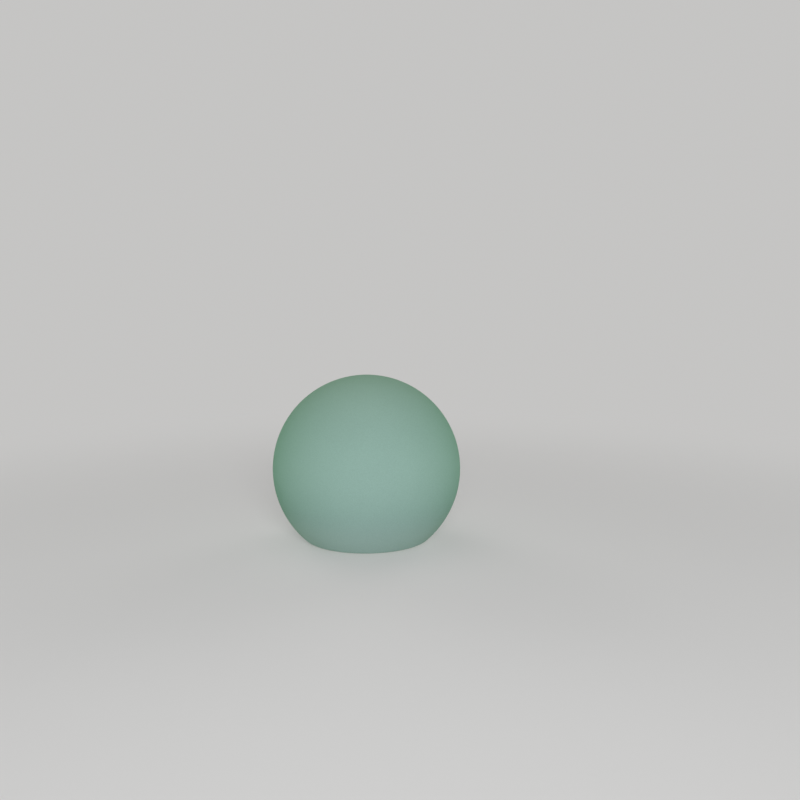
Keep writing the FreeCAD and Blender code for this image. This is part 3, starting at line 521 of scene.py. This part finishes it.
def frostedDome():
    made, link = newMaterial("frostedDome", Emission_Strength=1.0, Specular_IOR_Level=0.4)
    spot, x, y, z = places(link)
    away = fromLight(x, y) / lights["spotSize"]
    hot = (away * away * -1).math("EXPONENT") * z.rise(*lights["spotHeights"])
    glow = hot.mix(lights["domeGlow"], lights["spotGlow"])
    glow = z.rise(*lights["rimHeights"]).mix(shaded(lights["domeGlow"], lights["rimGlow"]), glow)
    tint = noise(spot, 0.02, 3.0).mix(shaded(lights["dome"], 0.96), lights["dome"])
    rough = around(noise(spot, 0.01, 3.0), lights["domeRoughness"], 0.1)
    frost = bump(noise(spot, lights["domeGrain"], 2.0), lights["domeGrainDepth"])
    return feed(made, Base_Color=tint, Emission_Color=glow, Roughness=rough, Normal=frost)


# Battery, foam, ferrite, ribbon and light pipe

pack = {
    "sleeve": (0.02, 0.1, 0.3),
    "sleeveRoughness": 0.28,
    "wrinkleSize": 0.0012,
    "wrinkleDepth": 0.0001,
    "wrinkled": (0.026, 0.0325),     # over this distance from the middle the sleeve wrinkles more and more
    "can": (0.6, 0.6, 0.6),
    "canFrom": 0.0319,
    "canRadius": 0.0078,
    "foam": (0.045, 0.045, 0.048),
    "foamCell": 0.0007,
    "foamDepth": 0.0002,
    "ferrite": (0.03, 0.03, 0.032),
    "winding": (0.45, 0.17, 0.06),
    "windingPitch": 0.00035,
    "windingDepth": 0.0001,
    "inductorPlace": (0.004, -0.007),
    "inductorCore": 0.0029,
    "coilMiddle": 0.0153,
    "coilHeight": 0.0014,
    "ribbon": (0.34, 0.35, 0.36),
    "ribbonMark": (0.4, 0.03, 0.03),
    "ribbonPitch": 0.00102,
    "ribbonDepth": 0.0003,
    "ribbonRoughness": 0.45,
    "markFrom": 0.00155,
    "pipe": (0.85, 0.9, 0.88),
    "pipeRoughness": 0.13,
}


def cellSleeve():
    made, link = newMaterial("cellSleeve")
    spot, x, y, z = places(link)
    radius = fromAxis(abs(y) - welds["cellY"], z - welds["cellZ"])
    end = abs(x).rise(pack["canFrom"], pack["canFrom"] + 0.0001)
    bare = end * (1 - radius.rise(pack["canRadius"], pack["canRadius"] + 0.0002))
    film = noise(spot, 0.01, 2.0).mix(shaded(pack["sleeve"], 0.9), pack["sleeve"])
    tint = bare.mix(film, pack["can"])
    folds = noise(stretch(spot, (1, 0.15, 0.15)), pack["wrinkleSize"], 2.0)
    normal = bump(folds * abs(x).rise(*pack["wrinkled"]), pack["wrinkleDepth"])
    rough = around(noise(spot, 0.004, 2.0), pack["sleeveRoughness"], 0.08)
    return feed(made, Base_Color=tint, Metallic=bare, Roughness=rough, Normal=normal)


def foam():
    made, link = newMaterial("greyFoam", Roughness=0.95, Specular_IOR_Level=0.2)
    spot = places(link)[0]
    pores = spot.node("TexVoronoi", {"feature": "F1"}, {"Vector": spot, "Scale": 1 / pack["foamCell"]})
    # painted shade: the pits of the pores are painted darker than the rims between them
    tint = pores.rise(0.1, 0.7).mix(pack["foam"], shaded(pack["foam"], 1.9))
    return feed(made, Base_Color=tint, Normal=bump(pores, pack["foamDepth"]))


def ferrite():
    made, link = newMaterial("ferrite")
    spot, x, y, z = places(link)
    reach = fromAxis(x - pack["inductorPlace"][0], y - pack["inductorPlace"][1])
    outside = reach.rise(pack["inductorCore"], pack["inductorCore"] + 0.0001)
    wound = outside * z.band(pack["coilMiddle"], pack["coilHeight"], 0.05)
    ridge = (z / pack["windingPitch"]).math("PINGPONG", 0.5) * wound
    speckled = noise(spot, 0.0004, 2.0).mix(pack["ferrite"], shaded(pack["ferrite"], 1.6))
    tint = wound.mix(speckled, pack["winding"])
    normal = bump(ridge, pack["windingDepth"])
    return feed(made, Base_Color=tint, Roughness=0.62 - wound * 0.3, Metallic=wound * 0.7, Normal=normal)


def ribbon():
    made, link = newMaterial("ribbonVinyl", Specular_IOR_Level=0.4)
    spot, x = places(link)[:2]
    back = (x / pack["ribbonPitch"] + 0.5).math("PINGPONG", 0.5)     # the round back of each lead in it
    mark = x.rise(pack["markFrom"], pack["markFrom"] + 0.00005)
    vinyl = noise(spot, 0.004).mix(shaded(pack["ribbon"], 0.93), pack["ribbon"])
    tint = mark.mix(vinyl, pack["ribbonMark"])
    # painted shade: the grooves between the leads' round backs are darkened to half the vinyl's colour
    tint = (1 - back.rise(0.02, 0.12)).mix(tint, shaded(pack["ribbon"], 0.5))
    rough = around(noise(spot, 0.002), pack["ribbonRoughness"], 0.1)
    return feed(made, Base_Color=tint, Roughness=rough, Normal=bump(back, pack["ribbonDepth"]))


def clearPlastic():
    made, link = newMaterial("clearPlastic", Transmission_Weight=0.85, IOR=1.49)
    spot = places(link)[0]
    tint = noise(spot, 0.002).mix(shaded(pack["pipe"], 0.94), pack["pipe"])
    rough = around(noise(spot, 0.0008, 3.0), pack["pipeRoughness"], 0.1)
    return feed(made, Base_Color=tint, Roughness=rough)


special = {
    "frosted_globe": frostedGlobe,
    "led_package": ledPackage,
    "frosted_dome": frostedDome,
    "cell_sleeve": cellSleeve,
    "grey_foam": foam,
    "ferrite": ferrite,
    "ribbon_vinyl": ribbon,
    "clear_plastic": clearPlastic,
}
slotOf = {row["node"]: row["material_slot"] for row in frame["record"]["subparts"]}
finishes = {}
for slot in sorted(set(slotOf.values())):
    if slot in special:
        finishes[slot] = special[slot]()
    elif slot in mouldings:
        finishes[slot] = moulding(slot)
    elif slot in metals:
        finishes[slot] = metal(slot)
    else:
        finishes[slot] = circuitBoard(slot)
for name, piece in nodes.items():
    piece.data.materials.clear()
    piece.data.materials.append(finishes[slotOf[name]])
print("finishes made:", len(finishes))


# Shapes from rows of points

def circle(radius, z, steps=32):
    angles = [2 * math.pi * (k + 0.5) / steps for k in range(steps)]
    return [Vector((radius * math.cos(a), radius * math.sin(a), z)) for a in angles]


def rounded(width, depth, corner, z, steps=3, centre=(0, 0)):    # a rectangle with round corners
    row = []
    for k, (right, far) in enumerate(((1, 1), (-1, 1), (-1, -1), (1, -1))):
        for step in range(steps + 1):
            angle = math.pi / 2 * (k + step / steps)
            x = right * (width / 2 - corner) + corner * math.cos(angle)
            y = far * (depth / 2 - corner) + corner * math.sin(angle)
            row.append(Vector((centre[0] + x, centre[1] + y, z)))
    return row


def skin(rows):                                      # joins rows of points, with a lid at each end
    count = len(rows[0])
    faces = []
    for a in range(len(rows) - 1):
        for k in range(count):
            near, far = (k, (k + 1) % count)
            faces.append((a * count + near, a * count + far, (a + 1) * count + far, (a + 1) * count + near))
    faces.append(tuple(reversed(range(count))))
    faces.append(tuple((len(rows) - 1) * count + k for k in range(count)))
    return [p for row in rows for p in row], faces


def lathe(profile, steps=32):                        # from (radius, height) pairs
    return skin([circle(radius, z, steps) for radius, z in profile])


def moved(shape, matrix):
    return [matrix @ p for p in shape[0]], shape[1]


def meshOf(name, shapes):
    points, faces = [], []
    for shapePoints, shapeFaces in shapes:
        start = len(points)
        points += shapePoints
        faces += [[start + k for k in face] for face in shapeFaces]
    mesh = bpy.data.meshes.new(name)
    mesh.from_pydata(points, [], faces)
    return mesh


def cut(shape, tool):                                # the shape with the tool's taken out
    pair = []
    for given in (shape, tool):
        pair.append(bpy.data.objects.new("cutting", meshOf("cutting", [given])))
        bpy.context.scene.collection.objects.link(pair[-1])
    modifier = pair[0].modifiers.new("cut", "BOOLEAN")
    modifier.operation = "DIFFERENCE"
    modifier.solver = "EXACT"
    modifier.object = pair[1]
    ready = pair[0].evaluated_get(bpy.context.evaluated_depsgraph_get())
    mesh = bpy.data.meshes.new_from_object(ready)
    result = [v.co.copy() for v in mesh.vertices], [tuple(face.vertices) for face in mesh.polygons]
    for made in pair:
        bpy.data.objects.remove(made)
    return result


def newPiece(name, mesh, slot, *replaced, sharp=35, body="base"):
    mesh.shade_smooth()
    mesh.set_sharp_from_angle(angle=math.radians(sharp))
    mesh.materials.append(finishes[slot])
    made = bpy.data.objects.new(name, mesh)
    bpy.context.scene.collection.objects.link(made)
    if body:
        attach(made, body)
    if replaced:
        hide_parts(*replaced)
    return made


# Screws, with a pan head, a cross recess and a real thread

screws = {
    "small": {"shank": 0.001, "head": 0.0019, "headHeight": 0.0013, "pitch": 0.0008},
    "large": {"shank": 0.0014, "head": 0.0026, "headHeight": 0.0017, "pitch": 0.0012},
    "headProfile": [                 # shares of the head's radius and height
        (0.96, 0), (1, 0.08), (1, 0.42), (0.96, 0.62), (0.86, 0.8), (0.7, 0.92), (0.5, 0.98), (0.25, 1),
    ],
    "rootShare": 0.76,               # root of the thread, of its outer radius
    "crestSharpness": 3.2,
    "tipShare": 0.45,                # radius at the very tip
    "tipLength": 2.5,                # in radii of the shank
    "rowsPerTurn": 6,
    "threadSteps": 18,
    "recessReach": 0.56,             # of the head's radius
    "recessWidth": 0.14,
    "recessRows": [(0.6, 0.55), (-0.2, 1.05)],       # depth, of the head's height, and width there
    "turned": 0.4,                   # of the recess, from pointing straight outwards
    "lightRing": (0.0265, (15, 135, 255)),           # radius and angles of the screws in the LED board
    "domeRing": (0.0368, (60, 180, 300)),
}


def panHead(row):
    profile = [(row["shank"] * screws["rootShare"], 0)]
    profile += [(row["head"] * across, row["headHeight"] * up) for across, up in screws["headProfile"]]
    return lathe(profile)


def crossRecess(row):
    rows = []
    for depth, share in screws["recessRows"]:
        z = row["headHeight"] * (1 - depth)
        long, wide = (row["head"] * screws[key] * share for key in ("recessReach", "recessWidth"))
        arm = [(long, -wide), (long, wide), (wide, wide)]
        ring = []
        for turn in range(4):
            spin = Matrix.Rotation(turn * math.pi / 2, 3, "Z")
            ring += [spin @ Vector((x, y, z)) for x, y in arm]
        rows.append(ring)
    return skin(rows)


def thread(row, length):                             # from its tip up to the head
    outer, root = row["shank"], row["shank"] * screws["rootShare"]
    count = round(length / row["pitch"] * screws["rowsPerTurn"])
    rows = []
    for k in range(count + 1):
        z = -length + length * k / count
        taper = min(1.0, screws["tipShare"] + (z + length) / (screws["tipLength"] * outer))
        runOut = min(1.0, -z / row["pitch"])         # no thread right under the head
        ring = []
        for p in circle(1.0, z, screws["threadSteps"]):
            phase = (z / row["pitch"] - math.atan2(p.y, p.x) / (2 * math.pi)) % 1.0
            crest = max(0.0, 1 - abs(phase - 0.5) * screws["crestSharpness"])
            radius = (root + (outer - root) * crest * runOut) * taper
            ring.append(Vector((p.x * radius, p.y * radius, z)))
        rows.append(ring)
    return skin(rows)


def makeScrews(node, kind, length, seat, spots, down=False):
    row = screws[kind]
    single = [cut(panHead(row), crossRecess(row)), thread(row, length)]
    shapes = []
    for x, y in spots:
        turn = Matrix.Rotation(math.atan2(y, x) + screws["turned"], 4, "Z")
        flip = Matrix.Rotation(math.pi, 4, "X") if down else Matrix.Identity(4)
        place = Matrix.Translation((x, y, seat)) @ flip @ turn
        shapes += [moved(shape, place) for shape in single]
    newPiece(node + "_detail", meshOf(node, shapes), slotOf[node], node)


def polar(radius, angles):
    return [(radius * math.cos(math.radians(a)), radius * math.sin(math.radians(a))) for a in angles]


def corners(node, inset):                            # the middles of screws at the corners of a node's box
    low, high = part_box(node)
    return [(x, y) for x in (low.x + inset, high.x - inset) for y in (low.y + inset, high.y - inset)]


def makeFasteners():
    small, large = screws["small"], screws["large"]
    low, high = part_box("cover_screws")
    seat = low.z + large["headHeight"]
    makeScrews("cover_screws", "large", high.z - seat, seat, corners("cover_screws", large["head"]), True)
    low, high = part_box("board_screws")
    seat = high.z - small["headHeight"]
    makeScrews("board_screws", "small", seat - low.z, seat, corners("board_screws", small["head"]))
    low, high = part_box("cradle_screws")
    seat = low.z + large["headHeight"]
    reach = (high.x - large["head"], high.y - large["head"])
    makeScrews("cradle_screws", "large", high.z - seat, seat, [reach, (-reach[0], -reach[1])], True)
    low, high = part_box("led_board_screws")
    seat = high.z - small["headHeight"]
    makeScrews("led_board_screws", "small", seat - low.z, seat, polar(*screws["lightRing"]))
    low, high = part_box("dome_screws")
    seat = high.z - small["headHeight"]
    makeScrews("dome_screws", "small", seat - low.z, seat, polar(*screws["domeRing"]))


makeFasteners()
print("screws made")


# Feet with ringed treads

feet = {
    "radius": 0.0049,
    "grooves": 3,
    "grooveDepth": 0.0003,
    "grooveWidth": 0.0005,
    "grooveSlope": 0.0001,
    "landWidth": 0.0007,
    "middle": 0.0009,
    "edge": 0.0005,
    "edgeSlope": 0.00015,
}


def makeFeet():
    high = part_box("rubber_feet")[1]
    radius, edge = feet["radius"], feet["edge"]
    depth, slope = feet["grooveDepth"], feet["grooveSlope"]
    profile = [(feet["middle"], 0.0)]
    for k in range(feet["grooves"]):
        inner = feet["middle"] + k * (feet["grooveWidth"] + feet["landWidth"])
        outer = inner + feet["grooveWidth"]
        profile += [(inner + slope, depth), (outer - slope, depth), (outer, 0.0)]
        profile.append((outer + feet["landWidth"], 0.0))
    profile = [p for p in profile if p[0] < radius - edge]
    profile += [(radius - edge, 0.0), (radius - feet["edgeSlope"], feet["edgeSlope"])]
    profile += [(radius, edge), (radius, high.z)]
    shape = lathe(profile, 48)
    spots = polar(high.x - radius, (0, 90, 180, 270))
    shapes = [moved(shape, Matrix.Translation((x, y, 0))) for x, y in spots]
    newPiece("rubber_feet_detail", meshOf("rubber_feet", shapes), "foot_rubber", "rubber_feet")


makeFeet()
print("feet made")


# Silicone dome between the button and its switch

membrane = {
    "thickness": 0.0008,
    "middle": 0.0005,
    "crown": 0.0042,
    "crownOut": 0.00016,             # how much wider the crown is outside than inside
    "skirtOut": 0.00064,             # how much further out and higher the skirt's foot is outside
    "skirtRows": 8,
    "sideHeight": 0.0016,
    "sideLean": (0.0002, 0.0001),    # inside and outside
    "footWidth": 0.0018,
    "beadRadius": 0.0003,
}


def between(first, last, steps):                     # points on a line, with both of its ends
    line = []
    for k in range(steps + 1):
        share = k / steps
        line.append((first[0] + (last[0] - first[0]) * share, first[1] + (last[1] - first[1]) * share))
    return line


def makeMembrane():
    low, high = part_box("button_membrane")
    thick, bead, crown = membrane["thickness"], membrane["beadRadius"], membrane["crown"]
    outer = high.x
    inner = outer - membrane["footWidth"]
    shoulder = inner - thick / 2
    under, foot = high.z - thick, low.z + thick
    kneeZ = low.z + membrane["sideHeight"]
    leanIn, leanOut = membrane["sideLean"]
    profile = [(membrane["middle"], under), (crown * 0.5, under)]
    profile += between((crown, under), (shoulder, kneeZ), membrane["skirtRows"])
    profile += [(shoulder + leanIn, (kneeZ + low.z) / 2), (inner, low.z), (outer - bead, low.z)]
    profile += [(outer, low.z + bead), (outer, foot - bead), (outer - bead, foot), (shoulder + thick, foot)]
    profile.append((shoulder + thick - leanOut, (kneeZ + foot) / 2))
    knee = (shoulder + membrane["skirtOut"], kneeZ + membrane["skirtOut"])
    profile += between(knee, (crown + membrane["crownOut"], high.z), membrane["skirtRows"])
    profile += [(crown * 0.5, high.z), (membrane["middle"], high.z)]
    mesh = meshOf("button_membrane", [lathe(profile, 64)])
    made = newPiece("button_membrane_soft", mesh, "white_silicone", "button_membrane", body=None)
    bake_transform(made)


makeMembrane()
print("button membrane made")


# Light packages, chip, connectors, leads and foam

electronics = {
    "packageSide": 0.005,
    "packageEdge": 0.0002,
    "packageCorner": 0.0003,
    "wellTop": 0.0021,
    "wellDepth": 0.0005,
    "lens": 0.00025,
    "lensProfile": [(0.88, 0.0), (0.6, 0.7), (0.2, 1.0)],    # shares of the well's radius and its height
    "indicatorCorner": 0.0001,
    "indicatorLens": [(0.44, 0.0), (0.42, 0.6), (0.3, 0.95), (0.1, 1.0)],    # shares of its side and height
    "chipCorner": 0.0001,
    "chipLift": 0.0002,
    "chipTaper": 0.0003,
    "legCount": 8,
    "legPitch": 0.00115,
    "legWidth": 0.0004,
    "legThickness": 0.00018,
    "legPath": [                     # outwards from the chip's body, and height
        (-0.0001, 0.0008), (0.0003, 0.0008), (0.0005, 0.00018), (0.0009, 0.00018),
    ],
    "wallThickness": 0.0006,
    "wallCorner": 0.0003,
    "wallEdge": 0.0002,
    "wallBevel": 0.0001,
    "wallFloor": 0.0008,
    "pinSide": 0.0005,
    "pinRows": [(0.0008, 1), (0.0005, 0.5)],         # down from the wall's top, and share of its side
    "leadRadius": 0.0007,
    "leadBend": 0.0022,
    "leadEntry": 0.001,
    "foamCorner": 0.002,
    "foamEdge": [(0.0008, 0.0), (0.0002, 0.0003), (0.0, 0.0009)],    # inwards, and away from the nearer face
}


def middleOf(low, high):
    return (low.x + high.x) / 2, (low.y + high.y) / 2


def makeLightPackages():
    low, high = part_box("led_chips")
    side, edge, corner = electronics["packageSide"], electronics["packageEdge"], electronics["packageCorner"]
    top = high.z
    rows = [rounded(side, side, corner, low.z, 7), rounded(side, side, corner, top - edge, 7)]
    rows.append(rounded(side - 2 * edge, side - 2 * edge, corner, top, 7))
    well = electronics["wellTop"]
    floor = top - electronics["wellDepth"]
    rows.append(circle(well, top))
    for across, up in electronics["lensProfile"]:
        rows.append(circle(well * across, floor + electronics["lens"] * up))
    shape = skin(rows)
    shapes = []
    for k in range(lights["count"]):
        angle = math.radians(lights["firstAngle"] + 360 / lights["count"] * k)
        turn = Matrix.Rotation(angle, 4, "Z") @ Matrix.Translation((lights["ringRadius"], 0, 0))
        shapes.append(moved(shape, turn))
    newPiece("led_chips_detail", meshOf("led_chips", shapes), "led_package", "led_chips")


def makeIndicator():                                 # under the board, so it is made upright and turned over
    low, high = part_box("indicator_led")
    side, top = high.x - low.x, (high.z - low.z) / 2
    rows = [rounded(side, side, electronics["indicatorCorner"], z) for z in (-top, 0)]
    rows += [circle(side * across, top * up, 16) for across, up in electronics["indicatorLens"]]
    place = Matrix.Translation((low + high) / 2) @ Matrix.Rotation(math.pi, 4, "X")
    mesh = meshOf("indicator", [moved(skin(rows), place)])
    newPiece("indicator_led_detail", mesh, "led_package", "indicator_led")


def makeChip():
    low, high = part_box("controller_chip")
    centre = middleOf(low, high)
    path, thin = electronics["legPath"], electronics["legThickness"]
    lift, taper = electronics["chipLift"], electronics["chipTaper"]
    long, wide = high.x - low.x, high.y - low.y - 2 * path[-1][0]
    body = []
    for inset, z in ((lift, low.z + lift), (0, low.z + path[0][1]), (taper, high.z)):
        body.append(rounded(long - 2 * inset, wide - 2 * inset, electronics["chipCorner"], z, 2, centre))
    mesh = meshOf("controller_chip", [skin(body)])
    newPiece("controller_chip_body", mesh, "black_plastic", "controller_chip")
    legs = []
    for side in (-1, 1):
        half = electronics["legWidth"] / 2 * side
        section = ((half, -thin), (-half, -thin), (-half, 0), (half, 0))
        for k in range(electronics["legCount"]):
            x = centre[0] + (k - (electronics["legCount"] - 1) / 2) * electronics["legPitch"]
            rows = []
            for away, height in path:
                y = centre[1] + side * (wide / 2 + away)
                rows.append([Vector((x + across, y, low.z + height + up)) for across, up in section])
            legs.append(skin(rows))
    newPiece("controller_chip_legs", meshOf("controller_legs", legs), "nickel_strip")


def makeConnector(node, pins, alongY):
    low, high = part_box(node)
    centre = middleOf(low, high)
    width, depth = high.x - low.x, high.y - low.y
    wall, corner = electronics["wallThickness"], electronics["wallCorner"]
    edge, bevel = electronics["wallEdge"], electronics["wallBevel"]
    levels = (                                       # inwards from the outside, round corner, height
        (0, corner, low.z),
        (0, corner, high.z - edge),
        (bevel, edge, high.z),
        (wall - bevel, edge, high.z),
        (wall, edge, high.z - edge),
        (wall, edge, low.z + electronics["wallFloor"]),
    )
    rows = [rounded(width - 2 * inset, depth - 2 * inset, turn, z, 3, centre) for inset, turn, z in levels]
    newPiece(node + "_housing", meshOf(node, [skin(rows)]), "connector_nylon", node)
    shapes = []
    room = (depth if alongY else width) - 2 * wall
    for k in range(pins):
        shift = room * ((k + 0.5) / pins - 0.5)
        spot = (centre[0], centre[1] + shift) if alongY else (centre[0] + shift, centre[1])
        pin = []
        for drop, share in ((high.z - low.z, 1), *electronics["pinRows"]):
            side = electronics["pinSide"] * share
            pin.append(rounded(side, side, side / 4, high.z - drop, 1, spot))
        shapes.append(skin(pin))
    newPiece(node + "_pins", meshOf(node + "_pins", shapes), "nickel_strip")


def makeLead(node):
    low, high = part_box(node)
    radius, bend, entry = electronics["leadRadius"], electronics["leadBend"], electronics["leadEntry"]
    y = (low.y + high.y) / 2
    inner, outer = low.x, high.x - radius
    top, bottom = high.z - radius, low.z + radius
    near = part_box("battery_tabs")[1].x
    route = [(near, top), (near + entry, top), (outer, top), (outer, top - bend), (outer, bottom + bend)]
    route += [(outer, bottom), (outer - bend, bottom), (inner + entry, bottom), (inner, bottom)]
    curve = bpy.data.curves.new(node, "CURVE")
    curve.dimensions = "3D"
    curve.bevel_depth = radius
    curve.bevel_resolution = 4
    curve.use_fill_caps = True
    spline = curve.splines.new("NURBS")
    spline.points.add(len(route) - 1)
    for point, (x, z) in zip(spline.points, route):
        point.co = (x, y, z, 1)
    spline.order_u = 3
    spline.use_endpoint_u = True
    holder = bpy.data.objects.new("lead", curve)
    bpy.context.scene.collection.objects.link(holder)
    mesh = bpy.data.meshes.new_from_object(holder.evaluated_get(bpy.context.evaluated_depsgraph_get()))
    bpy.data.objects.remove(holder)
    mesh.materials.clear()
    newPiece(node + "_round", mesh, slotOf[node], node)


def makeFoam():
    low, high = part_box("foam_pad")
    centre = middleOf(low, high)
    wide, deep = high.x - low.x, high.y - low.y
    edge = electronics["foamEdge"]
    levels = [(inset, low.z + depth) for inset, depth in edge]
    levels += [(inset, high.z - depth) for inset, depth in reversed(edge)]
    rows = []
    for inset, z in levels:
        corner = electronics["foamCorner"] - inset
        rows.append(rounded(wide - 2 * inset, deep - 2 * inset, corner, z, 4, centre))
    made = newPiece("foam_pad_soft", meshOf("foam_pad", [skin(rows)]), "grey_foam", "foam_pad", sharp=60)


makeLightPackages()
makeIndicator()
makeChip()
makeConnector("battery_connector", 2, True)
makeConnector("ribbon_connector", 5, False)
makeConnector("led_connector", 5, False)
makeLead("battery_wire_red")
makeLead("battery_wire_black")
makeFoam()
print("electronics made")


# Floor, lamps and world

stage = {
    "floorRings": [0.1, 0.6, 6.0],
    "floorSteps": 96,
    "floorColour": (0.82, 0.815, 0.80),
    "floorPatch": 0.15,
    "coveredRadius": 0.06,           # the lamp under the floor shines through it here, where the light stands
    "backdrop": (0.56, 0.556, 0.549),
    "fadeStart": 0.3,                # from here out to fadeEnd the floor turns into the backdrop
    "fadeEnd": 1.0,
    "paleness": 0.4,                 # share of the backdrop's own colour in the floor near the light
    "worldLevel": 0.11,
}


def rayKind(link, kind):
    return link.node("LightPath", output=f"Is {kind} Ray")


def lookedAt(link):                                  # rays from the lens, also by gloss or clear plastic
    camera, glossy, clear = (rayKind(link, kind) for kind in ("Camera", "Glossy", "Transmission"))
    return (camera + glossy + clear).math("MINIMUM", 1.0)


def makeFloor():
    mesh = bpy.data.meshes.new("floor")
    steps, rings = stage["floorSteps"], stage["floorRings"]
    points, faces = [], [tuple(range(steps))]
    for radius in rings:
        for k in range(steps):
            angle = 2 * math.pi * k / steps
            points.append((radius * math.cos(angle), radius * math.sin(angle), 0))
    for ring in range(len(rings) - 1):
        for k in range(steps):
            near, far = ring * steps + k, (ring + 1) * steps + k
            nextNear, nextFar = ring * steps + (k + 1) % steps, (ring + 1) * steps + (k + 1) % steps
            faces.append((near, far, nextFar, nextNear))
    mesh.from_pydata(points, [], faces)
    floor = bpy.data.objects.new("floor", mesh)
    bpy.context.scene.collection.objects.link(floor)
    made, link = newMaterial("floorPaper", Roughness=0.9, Specular_IOR_Level=0.2)
    spot, x, y = places(link)[:3]
    paleSpots = noise(spot, stage["floorPatch"], 4.0)
    feed(made, Base_Color=paleSpots.mix(shaded(stage["floorColour"], 0.985), stage["floorColour"]))
    tree = made.node_tree
    reach = fromAxis(x, y)
    back = link.node("Emission", values={0: (*stage["backdrop"], 1), 1: 1.0})
    paper = Link(tree, tree.nodes["Principled BSDF"].outputs[0])
    fade = reach.rise(stage["fadeStart"], stage["fadeEnd"]) * (1 - stage["paleness"]) + stage["paleness"]
    lit = link.node("MixShader", values={0: fade * lookedAt(link), 1: paper, 2: back})
    under = link.node("NewGeometry", output="Backfacing")
    covered = rayKind(link, "Shadow") * reach.math("LESS_THAN", stage["coveredRadius"])
    clear = link.node("BsdfTransparent")
    whole = link.node("MixShader", values={0: under.math("MAXIMUM", covered), 1: lit, 2: clear})
    tree.links.new(whole.socket, tree.nodes["Material Output"].inputs["Surface"])
    mesh.materials.append(made)


def makeWorld():
    world = bpy.data.worlds.new("studio")
    world.use_nodes = True
    tree = world.node_tree
    colour = lookedAt(Link(tree)).mix([stage["worldLevel"]] * 3, stage["backdrop"])
    tree.links.new(colour.socket, tree.nodes["Background"].inputs["Color"])
    bpy.context.scene.world = world


lamps = {                                            # glossy says whether smooth pieces mirror the lamp
    "key": {
        "place": (0.18, -1.84, 0.62), "size": 0.75, "power": 31.5,
        "colour": (0.98, 0.99, 1.02), "glossy": True,
    },
    "backLeft": {
        "place": (-1.15, 1.55, 0.7), "size": 1.2, "power": 9.0,
        "colour": (1.0, 1.0, 1.0), "glossy": False,
    },
    "backRight": {
        "place": (1.15, 1.55, 0.7), "size": 1.2, "power": 9.0,
        "colour": (1.0, 1.0, 1.0), "glossy": False,
    },
    "top": {
        "place": (-0.5, 0.2, 2.2), "size": 2.0, "power": 6.5,
        "colour": (1.0, 0.99, 0.95), "glossy": True,
    },
    "under": {
        "place": (0.15, -0.35, -0.8), "size": 0.9, "power": 3.5,
        "colour": (1.0, 1.0, 1.0), "glossy": True,
    },
}


def makeLamps():
    for name, row in lamps.items():
        data = bpy.data.lights.new(name, "AREA")
        data.shape = "DISK"
        data.size = row["size"]
        data.energy = row["power"]
        data.color = row["colour"]
        lamp = bpy.data.objects.new(name, data)
        lamp.location = row["place"]
        aim = globeCentre - lamp.location
        lamp.rotation_euler = aim.to_track_quat("-Z", "Y").to_euler()
        lamp.visible_camera = False
        lamp.visible_glossy = row["glossy"]
        bpy.context.scene.collection.objects.link(lamp)


makeFloor()
makeWorld()
makeLamps()
print("stage set")
